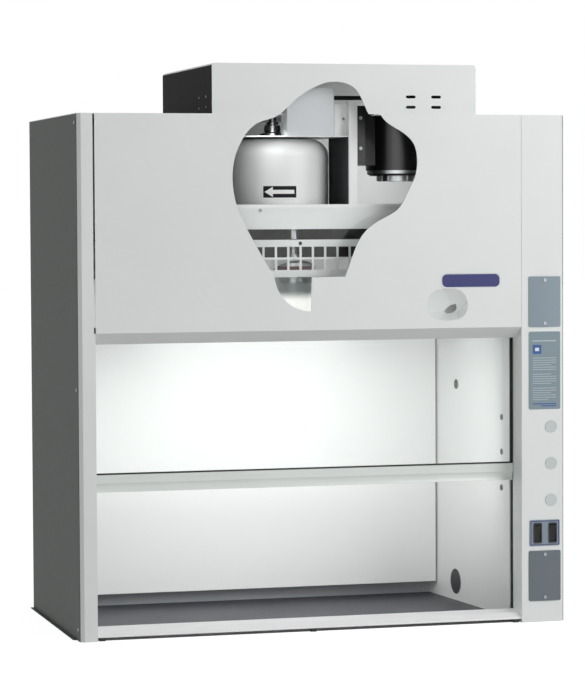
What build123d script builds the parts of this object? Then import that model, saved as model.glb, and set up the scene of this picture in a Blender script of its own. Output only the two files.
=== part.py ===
from build123d import *
import math
import os

os.makedirs("parts", exist_ok=True)

# Overall body
WIDTH = 1194.0
BODY_DEPTH = 616.0
BODY_HEIGHT = 1225.0
SHEET = 1.5
FIT = 0.3
FACE_PROUD = 6.0
HEAD_HEIGHT = 2.2

LEFT = -WIDTH / 2
RIGHT = WIDTH / 2
FRONT = FACE_PROUD - (BODY_DEPTH + FACE_PROUD + HEAD_HEIGHT) / 2
BACK = FRONT + BODY_DEPTH
SHELL_TOP = BODY_HEIGHT - SHEET

# Corner posts and the opening between them
LEFT_POST_WIDTH = 41.0
RIGHT_POST_WIDTH = 109.0
CORNER_WIDTH = 10.0
CORNER_DEPTH = 7.0
POST_LEG = 45.0
JAMB_DEPTH = 62.0
OPEN_LEFT = LEFT + LEFT_POST_WIDTH
OPEN_RIGHT = RIGHT - RIGHT_POST_WIDTH
OPEN_MID = (OPEN_LEFT + OPEN_RIGHT) / 2
JAMB_BACK = FRONT + JAMB_DEPTH

# Side panels
FLANGE_WIDTH = 9.0
FLANGE_START = 40.0
FLANGE_END = 6.0
FLANGE_CHAMFER = 6.0

# Front panel and its cutaway
PANEL_HEIGHT = 509.0
PANEL_GAP = 0.8
PANEL_REVEAL = 3.5
BEVEL_DEPTH = 38.0
BEVEL_DROP = 27.0
BEVEL_LIP = 12.0
PANEL_BOTTOM = BODY_HEIGHT - PANEL_HEIGHT
PANEL_LEFT = OPEN_LEFT + PANEL_GAP
PANEL_RIGHT = OPEN_RIGHT - PANEL_GAP
PANEL_TOP = SHELL_TOP

# Sash tracks
TRACK_DEPTH = 22.0
TRACK_REACH = 32.0
TRACK_BACK = JAMB_BACK + TRACK_DEPTH

# Work top and air foil
WORK_TOP = 3.0
TONGUE_SETBACK = 16.0
FOIL_HEIGHT = 28.0
FOIL_NOSE = 5.0

# Chamber lining
LINER = 5.0
TAPER = 5.0
LINING_SETBACK = 38.0
PLUG_FLANGE = 1.5
LINING_DEPTH = BODY_DEPTH - LINING_SETBACK
LINING_BACK = FRONT + LINING_DEPTH

# Baffles
BAFFLE_SPACE = 52.0
BAFFLE_BOTTOM = 38.0
BAFFLE_DROP = 26.0
BAFFLE_GAP = 5.0
STANDOFF_RADIUS = 9.0
CEILING_FOLD_DEPTH = 386.0
CEILING_DROP = 142.5
CEILING_LIP = 28.0
CEILING_GAP = 1.0

BAFFLE_TOP = PANEL_BOTTOM - BAFFLE_DROP
BAFFLE_DEPTH = LINING_DEPTH - BAFFLE_SPACE

# Cross beam, grille and blower deck
BEAM_DROP = 212.0
BEAM_HEIGHT = 59.0
BEAM_FLANGE = 18.0
BEAM_END = 8.0
GRILLE_GAP = 25.0
GRILLE_HEIGHT = 89.0
GRILLE_HOLE = 25.0
GRILLE_PITCH = 30.5
GRILLE_ROW_PITCH = 30.0
GRILLE_COLUMNS = 33
GRILLE_CENTRE = -25.2
DECK = 2.0
BEAM_TOP = BODY_HEIGHT - BEAM_DROP
BEAM_BOTTOM = BEAM_TOP - BEAM_HEIGHT
DECK_BOTTOM = BEAM_BOTTOM + SHEET
DECK_TOP = DECK_BOTTOM + DECK
GRILLE_TOP = BEAM_BOTTOM - GRILLE_GAP
GRILLE_BOTTOM = GRILLE_TOP - GRILLE_HEIGHT
GRILLE_ROW_MID = GRILLE_TOP - GRILLE_HEIGHT / 2
GRILLE_BACK = TRACK_BACK + SHEET
MECH_FRONT = TRACK_BACK

# Blower
BLOWER_X = -66.0
BLOWER_DEPTH = 240.0
BLOWER_RADIUS = 135.0
BLOWER_HEIGHT = 213.5
BLOWER_SHOULDER = 42.0
BLOWER_WALL = 2.0
INLET_RADIUS = 72.0
OUTLET_WIDTH = 105.0
OUTLET_INSET = 1.0
OUTLET_LOW = 28.0
OUTLET_HIGH = 168.0
OUTLET_END_INSET = 216.0
BOSS_RADIUS = 24.0
BLOWER_Y = FRONT + BLOWER_DEPTH
OUTLET_END_DEPTH = BODY_DEPTH - OUTLET_END_INSET

# Wheel and shafts
WHEEL_RADIUS = 112.0
WHEEL_HUB = 20.0
WHEEL_PLATE = 3.0
WHEEL_BLADES = 20
WHEEL_HEIGHT = 130.0
WHEEL_LIFT = 22.0
SHAFT_RADIUS = 9.5
SHAFT_PLAY = 0.05
SHAFT_CLEAR = 2.0

# Shelf, uprights and what stands on them
SHELF = 2.0
SHELF_LEFT = -262.0
SHELF_BACK_DEPTH = 370.0
UPRIGHT_X = 81.2
UPRIGHT_WIDTH = 21.0
UPRIGHT_DEPTH = 24.0
UPRIGHT_RISE = 84.0
PARTITION_END = 246.0
BOX_LEFT = -70.0
BOX_WIDTH = 117.0
BOX_SETBACK = 92.0
BOX_DEPTH = 56.0
BOX_HEIGHT = 114.0
SHELF_BOTTOM = DECK_TOP + BLOWER_HEIGHT + 3.0
SHELF_TOP = SHELF_BOTTOM + SHELF
UPRIGHT_TOP = SHELF_TOP + UPRIGHT_RISE

# Belt drive
PULLEY_RISE = 96.0
PULLEY_HEIGHT = 22.0
BLOWER_PULLEY_RADIUS = 50.0
MOTOR_PULLEY_RADIUS = 30.0
GROOVE_DEPTH = 10.0
GROOVE_TOP = 12.0
GROOVE_FLOOR = 8.5
BELT_HEIGHT = 7.5
BELT_THICKNESS = 8.0
PULLEY_Z = SHELF_TOP + PULLEY_RISE

# Motor
MOTOR_X = 244.0
MOTOR_DEPTH = 200.0
MOTOR_RADIUS = 82.5
MOTOR_LENGTH = 147.0
MOTOR_END = 13.0
MOTOR_SHAFT_RADIUS = 8.0
BRACKET_X = 128.5
BRACKET_PLATE = 4.0
BRACKET_LOW = 12.0
MOTOR_Y = FRONT + MOTOR_DEPTH

# Canopy over the blower
CANOPY_LEFT = -266.0
CANOPY_WIDTH = 652.0
CANOPY_SETBACK = 40.0
CANOPY_BACK_INSET = 55.0
CANOPY_HEIGHT = 120.0
CANOPY_CORNER = 8.0
CANOPY_FLANGE = 20.0
CANOPY_RIGHT = CANOPY_LEFT + CANOPY_WIDTH
CANOPY_FRONT = FRONT + CANOPY_SETBACK
CANOPY_BACK = BACK - CANOPY_BACK_INSET
CANOPY_DEPTH = CANOPY_BACK - CANOPY_FRONT
CANOPY_TOP = BODY_HEIGHT + CANOPY_HEIGHT

# Exhaust
COLLAR_RADIUS = 101.5
COLLAR_LENGTH = 45.0
COLLAR_X = -148.0
COLLAR_INSET = 180.0
DUCT_END_INSET = 84.0
DUCT_SHOULDER = 30.0
COLLAR_DEPTH = BODY_DEPTH - COLLAR_INSET
DUCT_END_DEPTH = BODY_DEPTH - DUCT_END_INSET
COLLAR_Y = FRONT + COLLAR_DEPTH

# Lamp
LAMP_X = -41.0
LAMP_DEPTH = 150.0
CONDUIT_RADIUS = 9.0
JAR_RADIUS = 44.0
JAR_WALL = 3.5
JAR_DROP = 403.0
JAR_HEIGHT = 110.0
LAMP_OPENING = 52.0
LAMP_Y = FRONT + LAMP_DEPTH
JAR_TOP = BODY_HEIGHT - JAR_DROP
JAR_BOTTOM = JAR_TOP - JAR_HEIGHT

# Sash
GLASS = 5.0
GLASS_DROP = 218.0
GLASS_ENTRY = 10.0
HANDLE_HEIGHT = 41.0
HANDLE_BACK = 20.0
SASH_REST = 341.0
SASH_UP = 150.0
SEAL = 6.0
GLASS_Y = JAMB_BACK + TRACK_DEPTH / 2
GLASS_BOTTOM = SASH_REST + 26.0
GLASS_TOP = BODY_HEIGHT - GLASS_DROP
GLASS_HEIGHT = GLASS_TOP - GLASS_BOTTOM

# Sash belts, pulleys and weights
BELT_OFFSET = 21.0
SASH_BELT_WIDTH = 10.0
SASH_BELT = 3.0
SASH_PULLEY_RADIUS = 18.0
PULLEY_RIM = 2.0
TOP_PULLEY_Z = BODY_HEIGHT - 35.0
LOW_PULLEY_Z = 42.0
PIN_RADIUS = 4.0
WEIGHT_WIDTH = 28.0
WEIGHT_DEPTH = 60.0
WEIGHT_HEIGHT = 380.0
WEIGHT_LOW = 75.0
SHOE_HEIGHT = 26.0
SASH_PULLEY_Y = GLASS_Y + SASH_BELT / 2 + FIT + SASH_PULLEY_RADIUS
REAR_STRAND_Y = SASH_PULLEY_Y + SASH_PULLEY_RADIUS + FIT

# Covers, switches and caps on the right post
COVER_THICK = 2.0
COVER_INSET = 51.0
UPPER_COVER_Z = 776.0
COVER_WIDTH = 82.0
COVER_HEIGHT = 122.0
LOWER_COVER_Z = 112.5
SWITCH_WIDTH = 77.0
SWITCH_HEIGHT = 63.0
SWITCH_Z = 216.5
ROCKER_PITCH = 38.5
ROCKER_SHIFT = 0.85
BEZEL_WIDTH = 21.0
BEZEL_HEIGHT = 49.0
BEZEL_PROUD = 2.0
ROCKER_WIDTH = 15.0
ROCKER_RADIUS = 20.0
ROCKER_TILT = 8.0
CAP_RADIUS = 15.0
CAP_INSET = 34.0
CAP_Z = (474.0, 385.0, 296.0)

COVER_X = RIGHT - COVER_INSET
ROCKER_X = [COVER_X + ROCKER_SHIFT + side * ROCKER_PITCH / 2 for side in (-1, 1)]
CAP_X = RIGHT - CAP_INSET

# Screws
SCREW_RADIUS = 2.0
HEAD_RADIUS = 4.2
SCREW_LENGTH = 7.0


def folded(points, thickness):
    """Closed outline of a sheet folded along points, thick to the left of the way along them."""
    ways = [(Vector(*b) - Vector(*a)).normalized() for a, b in zip(points, points[1:])]
    sides = [Vector(-way.Y, way.X) for way in ways]
    inner = [Vector(*points[0]) + sides[0] * thickness]
    for corner, before, after in zip(points[1:-1], sides, sides[1:]):
        inner.append(Vector(*corner) + (before + after) * (thickness / (1 + before.dot(after))))
    inner.append(Vector(*points[-1]) + sides[-1] * thickness)
    return [*points, *[(p.X, p.Y) for p in reversed(inner)]]


def front_plane(depth):
    """Upright plane facing the user, the given depth behind the front face."""
    return Plane.XZ.offset(-(FRONT + depth))


def sheet_face(points, thickness=SHEET):
    """Sketch face of a folded sheet seen on its end."""
    Polygon(*folded(points, thickness), align=None)


def wall_x(side, y):
    """Inner face of a side lining at y: side is 1 on the right and -1 on the left."""
    edge = OPEN_RIGHT if side > 0 else OPEN_LEFT
    return edge - side * math.tan(math.radians(TAPER)) * (y - JAMB_BACK)


def turned_plane(x, y):
    """Upright plane through a vertical axis, for turned pieces."""
    return Plane((x, y, 0), x_dir=(1, 0, 0), z_dir=(0, -1, 0))


def upright_axis(x, y):
    """Vertical axis through a place in plan."""
    return Axis((x, y, 0), (0, 0, 1))


def chamber_plan(near, far, clearance):
    """Plan of the lined chamber between two depths, clear of both side linings."""
    corners = []
    for side, depths in ((-1, (near, far)), (1, (far, near))):
        corners += [(wall_x(side, FRONT + d) - side * clearance, FRONT + d) for d in depths]
    return corners


def finish(name, part):
    """Label a finished piece and write it out."""
    part.part.label = name
    export_step(part.part, "parts/" + name + ".step")


# Side panels, each with a flange along its bottom and one behind
SIDE_FRONT = FRONT + CORNER_DEPTH
REAR_FLANGE = 22.0
REAR_SCREW_INSET = 11.0
SCREW_Z = (28.0, 585.0, BODY_HEIGHT - 22.0)
SIDE_SCREW_DEPTH = 20.0
SIDE_SCREWS = [(FRONT + SIDE_SCREW_DEPTH, z) for z in SCREW_Z]
REAR_SCREWS = [(side * (WIDTH / 2 - REAR_SCREW_INSET), z) for side in (-1, 1) for z in SCREW_Z]


def side_flange(side):
    """Plan of the flange that turns outwards along the bottom of a side panel."""
    edge = side * WIDTH / 2
    tip = edge + side * FLANGE_WIDTH
    start = FRONT + FLANGE_START
    end = BACK - FLANGE_END
    return [(edge, start), (tip, start + FLANGE_CHAMFER), (tip, end), (edge, end)]


for side, name in ((-1, "left_side_panel"), (1, "right_side_panel")):
    edge = side * WIDTH / 2
    bend = BACK - SHEET
    path = [(edge, SIDE_FRONT), (edge, bend), (edge - side * REAR_FLANGE, bend)]
    with BuildPart() as side_panel:
        with BuildSketch(Plane.XY):
            sheet_face(path if side > 0 else path[::-1])
        extrude(amount=SHELL_TOP)
        with BuildSketch(Plane.XY):
            Polygon(*side_flange(side), align=None)
        extrude(amount=SHEET)
        with BuildSketch(Plane.YZ.offset(edge)):
            with Locations(*SIDE_SCREWS):
                Circle(SCREW_RADIUS + FIT)
        extrude(amount=-side * SHEET, mode=Mode.SUBTRACT)
        with BuildSketch(Plane.XZ.offset(-BACK)):
            with Locations(*REAR_SCREWS):
                Circle(SCREW_RADIUS + FIT)
        extrude(amount=2 * SHEET, mode=Mode.SUBTRACT)
    finish(name, side_panel)

# Rear panel
INNER_WIDTH = WIDTH - 2 * SHEET

with BuildPart() as rear_panel:
    with BuildSketch(Plane.XZ.offset(-BACK)):
        with Locations((0, SHELL_TOP / 2)):
            Rectangle(WIDTH, SHELL_TOP)
        with Locations(*REAR_SCREWS):
            Circle(SCREW_RADIUS + FIT, mode=Mode.SUBTRACT)
    extrude(amount=SHEET)
finish("rear_panel", rear_panel)

# Corner posts
COVER_OPENING = (56.0, 96.0)
SWITCH_OPENING = (64.0, 52.0)
COVER_SCREW_PITCH = 104.0
CAP_HOLE = 11.0
COVER_PLACES = ((COVER_X, UPPER_COVER_Z), (COVER_X, LOWER_COVER_Z))


def cover_screw_points():
    """Screws at the top and bottom centre of both blank covers."""
    half = COVER_SCREW_PITCH / 2
    return [(x, z + rise) for x, z in COVER_PLACES for rise in (-half, half)]


LEFT_POST_PATH = [
    (LEFT + SHEET, FRONT + POST_LEG),
    (LEFT + SHEET, FRONT + CORNER_DEPTH),
    (LEFT + CORNER_WIDTH, FRONT),
    (OPEN_LEFT, FRONT),
    (OPEN_LEFT, JAMB_BACK),
]

with BuildPart() as left_post:
    with BuildSketch(Plane.XY):
        sheet_face(LEFT_POST_PATH)
    extrude(amount=SHELL_TOP)
    reveal = (PANEL_REVEAL + SHEET, JAMB_DEPTH + SHEET)
    with BuildSketch(Plane.XY.offset(PANEL_BOTTOM)):
        with Locations((OPEN_LEFT - PANEL_REVEAL, FRONT - SHEET)):
            Rectangle(*reveal, align=(Align.MIN, Align.MIN))
    extrude(amount=PANEL_HEIGHT, mode=Mode.SUBTRACT)
    with BuildSketch(Plane.YZ.offset(LEFT)):
        with Locations(*SIDE_SCREWS):
            Circle(SCREW_RADIUS + FIT)
    extrude(amount=2 * SHEET, mode=Mode.SUBTRACT)
finish("left_post", left_post)

RIGHT_POST_PATH = [
    (OPEN_RIGHT, JAMB_BACK),
    (OPEN_RIGHT, FRONT),
    (RIGHT - CORNER_WIDTH, FRONT),
    (RIGHT - SHEET, FRONT + CORNER_DEPTH),
    (RIGHT - SHEET, FRONT + POST_LEG),
]

with BuildPart() as right_post:
    with BuildSketch(Plane.XY):
        sheet_face(RIGHT_POST_PATH)
    extrude(amount=SHELL_TOP)
    with BuildSketch(front_plane(0)):
        with Locations(*COVER_PLACES):
            Rectangle(*COVER_OPENING)
        with Locations((COVER_X, SWITCH_Z)):
            Rectangle(*SWITCH_OPENING)
        with Locations(*[(CAP_X, z) for z in CAP_Z]):
            Circle(CAP_HOLE)
        with Locations(*cover_screw_points()):
            Circle(SCREW_RADIUS + FIT)
    extrude(amount=-SHEET, mode=Mode.SUBTRACT)
    with BuildSketch(Plane.YZ.offset(RIGHT)):
        with Locations(*SIDE_SCREWS):
            Circle(SCREW_RADIUS + FIT)
    extrude(amount=-2 * SHEET, mode=Mode.SUBTRACT)
finish("right_post", right_post)

# Front panel with the two cutaway openings
MAIN_CUT_RIGHT = [
    (132, -6), (148, 17), (185, 40), (218, 72), (225, 104), (220, 147), (201, 186),
    (180, 222), (143, 245), (102, 271), (87, 288), (64, 335), (45.6, 384),
]
MAIN_CUT_LEFT = [
    (-127, 384), (-153, 341), (-175, 302), (-213, 228), (-227.6, 146),
    (-222, 104), (-206, 65), (-186, 37), (-162, 20), (-125, 8), (-106, -6),
]
LAMP_CUT = [(-39, 464.5), (-76, 455.6), (-98, 441), (-115, 420), (-127, 384)]
LAMP_CUT_TOP = (-36, 384.5)
SMALL_CUT = [
    (249, 462), (268, 420), (302, 413), (335, 422), (350, 445),
    (349, 468), (330, 487), (303, 492), (268, 485),
]


def below_top(points):
    """Points given by their drop below the top of the body, as heights."""
    return [(x, BODY_HEIGHT - drop) for x, drop in points]


PANEL_PATH = [
    (FRONT, PANEL_TOP),
    (FRONT, PANEL_BOTTOM),
    (FRONT + BEVEL_DEPTH, PANEL_BOTTOM - BEVEL_DROP),
    (FRONT + BEVEL_DEPTH, PANEL_BOTTOM - BEVEL_DROP + BEVEL_LIP),
]

with BuildPart() as front_panel:
    with BuildSketch(Plane.YZ.offset(PANEL_LEFT)):
        sheet_face(PANEL_PATH)
    extrude(amount=PANEL_RIGHT - PANEL_LEFT)
    with BuildSketch(front_plane(0)):
        with BuildLine():
            right = Spline(*below_top(MAIN_CUT_RIGHT))
            step = Polyline(right @ 1, *below_top([LAMP_CUT_TOP, LAMP_CUT[0]]))
            lobe = Spline(*below_top(LAMP_CUT))
            left = Spline(*below_top(MAIN_CUT_LEFT))
            Line(left @ 1, right @ 0)
        make_face()
        with BuildLine():
            Spline(*below_top(SMALL_CUT), periodic=True)
        make_face()
    extrude(amount=-SHEET, mode=Mode.SUBTRACT)
finish("front_panel", front_panel)

# Top panel, open under the canopy and behind the cutaway
NOTCH_LEFT = -104.0
NOTCH_RIGHT = 130.0
BAY_LEFT = CANOPY_LEFT + SHEET + CANOPY_FLANGE
BAY_RIGHT = CANOPY_RIGHT - SHEET - CANOPY_FLANGE
BAY_FRONT = CANOPY_FRONT + SHEET + CANOPY_FLANGE
BAY_BACK = CANOPY_BACK - SHEET - CANOPY_FLANGE
TOP_OUTLINE = [
    (LEFT + CORNER_WIDTH, FRONT),
    (RIGHT - CORNER_WIDTH, FRONT),
    (RIGHT, FRONT + CORNER_DEPTH),
    (RIGHT, BACK),
    (LEFT, BACK),
    (LEFT, FRONT + CORNER_DEPTH),
]
LEDGE_DROP = 20.0
LEDGE_SPANS = ((PANEL_LEFT + 4.0, -178.0), (194.0, PANEL_RIGHT - 4.0))

with BuildPart() as top_panel:
    with BuildSketch(Plane.XY.offset(SHELL_TOP)):
        Polygon(*TOP_OUTLINE, align=None)
        with Locations((BAY_LEFT, BAY_FRONT)):
            Rectangle(
                BAY_RIGHT - BAY_LEFT, BAY_BACK - BAY_FRONT, align=(Align.MIN, Align.MIN), mode=Mode.SUBTRACT
            )
        with Locations((NOTCH_LEFT, FRONT)):
            Rectangle(
                NOTCH_RIGHT - NOTCH_LEFT, BAY_FRONT - FRONT, align=(Align.MIN, Align.MIN), mode=Mode.SUBTRACT
            )
    extrude(amount=SHEET)
    with BuildSketch(front_plane(SHEET)):
        for start, end in LEDGE_SPANS:
            with Locations(((start + end) / 2, SHELL_TOP - LEDGE_DROP / 2)):
                Rectangle(end - start, LEDGE_DROP)
    extrude(amount=-SHEET)
finish("top_panel", top_panel)

# Work top
with BuildPart() as work_top:
    with BuildSketch(Plane.XY):
        with Locations((0, JAMB_BACK)):
            Rectangle(INNER_WIDTH, BACK - 2 * SHEET - JAMB_BACK, align=(Align.CENTER, Align.MIN))
        tongue_front = FRONT + TONGUE_SETBACK
        with Locations((OPEN_MID, (tongue_front + JAMB_BACK) / 2)):
            Rectangle(OPEN_RIGHT - OPEN_LEFT - 2 * FIT, JAMB_BACK - tongue_front)
    extrude(amount=WORK_TOP)
finish("work_top", work_top)

# Air foil along the front edge
FOIL_REAR = 60.0
FOIL_CREST = 23.0
FOIL_CREST_Z = 22.7
FOIL_UNDER = 8.0
FOIL_LIP = 14.0

with BuildPart() as air_foil:
    with BuildSketch(Plane.YZ.offset(OPEN_LEFT)):
        with BuildLine():
            FilletPolyline(
                (FRONT + FOIL_REAR, FOIL_HEIGHT - 10.0),
                (FRONT + FOIL_REAR, FOIL_HEIGHT),
                (FRONT + FOIL_CREST, FOIL_CREST_Z),
                (FRONT + FOIL_NOSE, FOIL_UNDER + 4.0),
                (FRONT + FOIL_NOSE, FOIL_UNDER),
                (FRONT + FOIL_LIP, FOIL_UNDER),
                radius=1.9,
            )
            offset(amount=SHEET, side=Side.LEFT)
        make_face()
    extrude(amount=OPEN_RIGHT - OPEN_LEFT)
finish("air_foil", air_foil)

# Sash tracks with the belt slots in their rear flange
SLOT_NEAR = 12.0
SLOT_TOP_Z = TOP_PULLEY_Z - SASH_PULLEY_RADIUS - PULLEY_RIM - 6.0
SLOT_LOW_Z = LOW_PULLEY_Z + SASH_PULLEY_RADIUS + PULLEY_RIM + 4.0
TRACK_TOP = TOP_PULLEY_Z + 26.0

for side, name in ((-1, "left_track"), (1, "right_track")):
    near = OPEN_RIGHT if side > 0 else OPEN_LEFT
    far = near + side * TRACK_REACH
    path = [(near, JAMB_BACK), (far, JAMB_BACK), (far, TRACK_BACK), (near, TRACK_BACK)]
    with BuildPart() as track:
        with BuildSketch(Plane.XY.offset(WORK_TOP)):
            sheet_face(path if side > 0 else path[::-1])
        extrude(amount=TRACK_TOP - WORK_TOP)
        slot_start = near + side * SLOT_NEAR
        slot_width = TRACK_REACH - SLOT_NEAR - SHEET
        with BuildSketch(front_plane(JAMB_DEPTH + TRACK_DEPTH)):
            for low, high in ((WORK_TOP, SLOT_LOW_Z), (SLOT_TOP_Z, TRACK_TOP)):
                with Locations((slot_start + side * slot_width / 2, (low + high) / 2)):
                    Rectangle(slot_width, high - low)
        extrude(amount=SHEET, mode=Mode.SUBTRACT)
    finish(name, track)

# Side linings, tapered towards the back
LINING_FRONT = FRONT + JAMB_DEPTH + TRACK_DEPTH
LINING_NOTCH = SHEET + FIT
PORTS = (
    (128.0, 490.0, 7.5),
    (128.0, 405.0, 7.5),
    (128.0, 316.5, 7.5),
    (403.0, 556.0, 12.5),
    (407.0, 51.5, 32.0),
)
PORT_LIP = 3.0


def wall_plane(side, y, z):
    """Plane on the inner face of a side lining, looking into the chamber."""
    lean = math.tan(math.radians(TAPER))
    return Plane((wall_x(side, y), y, z), x_dir=(-side * lean, 1, 0), z_dir=(-side, -lean, 0))


for side, name in ((-1, "left_lining"), (1, "right_lining")):
    near, far = wall_x(side, LINING_FRONT), wall_x(side, LINING_BACK)
    with BuildPart() as lining:
        with BuildSketch(Plane.XY.offset(WORK_TOP)):
            Polygon(
                (near, LINING_FRONT),
                (far, LINING_BACK),
                (far + side * LINER, LINING_BACK),
                (near + side * LINER, LINING_FRONT),
                align=None,
            )
        extrude(amount=DECK_BOTTOM - WORK_TOP)
        notch_low = GRILLE_BOTTOM - FIT
        with BuildSketch(front_plane(JAMB_DEPTH + TRACK_DEPTH)):
            with Locations((near + side * LINER / 2, (notch_low + DECK_BOTTOM) / 2)):
                Rectangle(4 * LINER, DECK_BOTTOM - notch_low)
        extrude(amount=-LINING_NOTCH, mode=Mode.SUBTRACT)
        if side > 0:
            for depth, z, radius in PORTS:
                with BuildSketch(wall_plane(side, FRONT + depth, z)):
                    Circle(radius - PORT_LIP)
                extrude(amount=-2 * LINER, mode=Mode.SUBTRACT)
    finish(name, lining)

# Rear lining
with BuildPart() as rear_lining:
    lining_left = wall_x(-1, LINING_BACK) - LINER
    lining_right = wall_x(1, LINING_BACK) + LINER
    with BuildSketch(Plane.XZ.offset(-LINING_BACK)):
        with Locations((lining_left, WORK_TOP)):
            Rectangle(lining_right - lining_left, DECK_BOTTOM - WORK_TOP, align=(Align.MIN, Align.MIN))
    extrude(amount=-LINER)
finish("rear_lining", rear_lining)

# Rear baffle on its stand-offs
BAFFLE_Y = FRONT + BAFFLE_DEPTH
BAFFLE_LEFT = wall_x(-1, BAFFLE_Y) + BAFFLE_GAP
BAFFLE_RIGHT = wall_x(1, BAFFLE_Y) - BAFFLE_GAP

with BuildPart() as rear_baffle:
    with BuildSketch(Plane.XZ.offset(-BAFFLE_Y)):
        with Locations((BAFFLE_LEFT, BAFFLE_BOTTOM)):
            Rectangle(BAFFLE_RIGHT - BAFFLE_LEFT, BAFFLE_TOP - BAFFLE_BOTTOM, align=(Align.MIN, Align.MIN))
    extrude(amount=-LINER)
finish("rear_baffle", rear_baffle)

STANDOFF_INSET = 60.0
BAFFLE_MID = ((BAFFLE_LEFT + BAFFLE_RIGHT) / 2, (BAFFLE_TOP + BAFFLE_BOTTOM) / 2)
STANDOFF_SPAN = (BAFFLE_RIGHT - BAFFLE_LEFT - 2 * STANDOFF_INSET) / 2
STANDOFF_RISE = BAFFLE_TOP - BAFFLE_BOTTOM - 2 * STANDOFF_INSET

with BuildPart() as baffle_standoffs:
    with BuildSketch(Plane.XZ.offset(-BAFFLE_Y - LINER)):
        with Locations(BAFFLE_MID):
            with GridLocations(STANDOFF_SPAN, STANDOFF_RISE, 3, 2):
                Circle(STANDOFF_RADIUS)
    extrude(amount=-(LINING_DEPTH - BAFFLE_DEPTH - LINER))
finish("baffle_standoffs", baffle_standoffs)

# Sloping ceiling with its lip, open round the lamp
CEILING_FOLD = (FRONT + CEILING_FOLD_DEPTH, GRILLE_ROW_MID - CEILING_DROP)
CEILING_PATH = [
    (GRILLE_BACK, GRILLE_ROW_MID),
    CEILING_FOLD,
    (CEILING_FOLD[0], CEILING_FOLD[1] - CEILING_LIP),
]
BREAK_X = 434.0
BREAK_RISE = 6.0
BREAK = [(-15, -6), (-14, 4), (-8, 12), (-2, 13), (3, 16), (8, 9), (14, 4), (15, -5), (6, -10), (-6, -11)]

with BuildPart() as ceiling_panel:
    with BuildSketch(Plane.YZ.offset(OPEN_LEFT)):
        sheet_face(CEILING_PATH)
    extrude(amount=OPEN_RIGHT - OPEN_LEFT)
    with BuildSketch(Plane.XY.offset(PANEL_BOTTOM - BEVEL_DROP)):
        Polygon(*chamber_plan(JAMB_DEPTH + TRACK_DEPTH, LINING_DEPTH, CEILING_GAP), align=None)
    extrude(amount=BODY_HEIGHT - PANEL_BOTTOM, mode=Mode.INTERSECT)
    with BuildSketch(Plane.XY.offset(GRILLE_BOTTOM - GRILLE_HEIGHT)):
        with Locations((LAMP_X, LAMP_Y)):
            Circle(LAMP_OPENING)
    extrude(amount=3 * GRILLE_HEIGHT, mode=Mode.SUBTRACT)
    with BuildSketch(front_plane(CEILING_FOLD_DEPTH - LAMP_OPENING)):
        Polygon(*[(BREAK_X + x, CEILING_FOLD[1] + BREAK_RISE + z) for x, z in BREAK], align=None)
    extrude(amount=-2 * LAMP_OPENING, mode=Mode.SUBTRACT)
finish("ceiling_panel", ceiling_panel)

# Bypass grille
GRILLE_LEFT = OPEN_LEFT - BEAM_END
GRILLE_RIGHT = OPEN_RIGHT + BEAM_END
FLANGE_LEFT = wall_x(-1, LINING_FRONT) + 3.0
FLANGE_RIGHT = wall_x(1, LINING_FRONT) - 3.0
GRILLE_RETURN = 10.0
GRILLE_TAB_HOLE = 4.4
BEAM_SCREW_DROP = 14.0
BEAM_SCREW_X = (-500.0, -139.4, 221.0, 445.0)

with BuildPart() as bypass_grille:
    with BuildSketch(front_plane(JAMB_DEPTH + TRACK_DEPTH)):
        with Locations((GRILLE_LEFT, GRILLE_BOTTOM)):
            Rectangle(GRILLE_RIGHT - GRILLE_LEFT, GRILLE_HEIGHT, align=(Align.MIN, Align.MIN))
        with Locations((GRILLE_CENTRE, GRILLE_ROW_MID)):
            with GridLocations(GRILLE_PITCH, GRILLE_ROW_PITCH, GRILLE_COLUMNS, 2):
                Rectangle(GRILLE_HOLE, GRILLE_HOLE, mode=Mode.SUBTRACT)
        with Locations((LAMP_X, GRILLE_TOP - GRILLE_TAB_HOLE * 2)):
            Circle(GRILLE_TAB_HOLE, mode=Mode.SUBTRACT)
    extrude(amount=-SHEET)
    with BuildSketch(Plane.XY.offset(GRILLE_BOTTOM)):
        with Locations((FLANGE_LEFT, GRILLE_BACK)):
            Rectangle(FLANGE_RIGHT - FLANGE_LEFT, GRILLE_RETURN, align=(Align.MIN, Align.MIN))
    extrude(amount=SHEET)
finish("bypass_grille", bypass_grille)

# Cross beam
with BuildPart() as cross_beam:
    with BuildSketch(front_plane(JAMB_DEPTH + TRACK_DEPTH)):
        with Locations((GRILLE_LEFT, BEAM_BOTTOM)):
            Rectangle(GRILLE_RIGHT - GRILLE_LEFT, BEAM_HEIGHT, align=(Align.MIN, Align.MIN))
        with Locations(*[(x, BEAM_TOP - BEAM_SCREW_DROP) for x in BEAM_SCREW_X]):
            Circle(SCREW_RADIUS + FIT, mode=Mode.SUBTRACT)
    extrude(amount=-SHEET)
    for z in (BEAM_BOTTOM, BEAM_TOP - SHEET):
        with BuildSketch(Plane.XY.offset(z)):
            with Locations((FLANGE_LEFT, GRILLE_BACK)):
                Rectangle(FLANGE_RIGHT - FLANGE_LEFT, BEAM_FLANGE, align=(Align.MIN, Align.MIN))
        extrude(amount=SHEET)
finish("cross_beam", cross_beam)

# Blower deck and its stiffener
STIFFENER_LEFT = 42.0
STIFFENER_LENGTH = 300.0
STIFFENER_DROP = 16.0
DECK_FRONT_DEPTH = JAMB_DEPTH + TRACK_DEPTH + SHEET
STIFFENER_Y = GRILLE_BACK + BEAM_FLANGE + FIT

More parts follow.
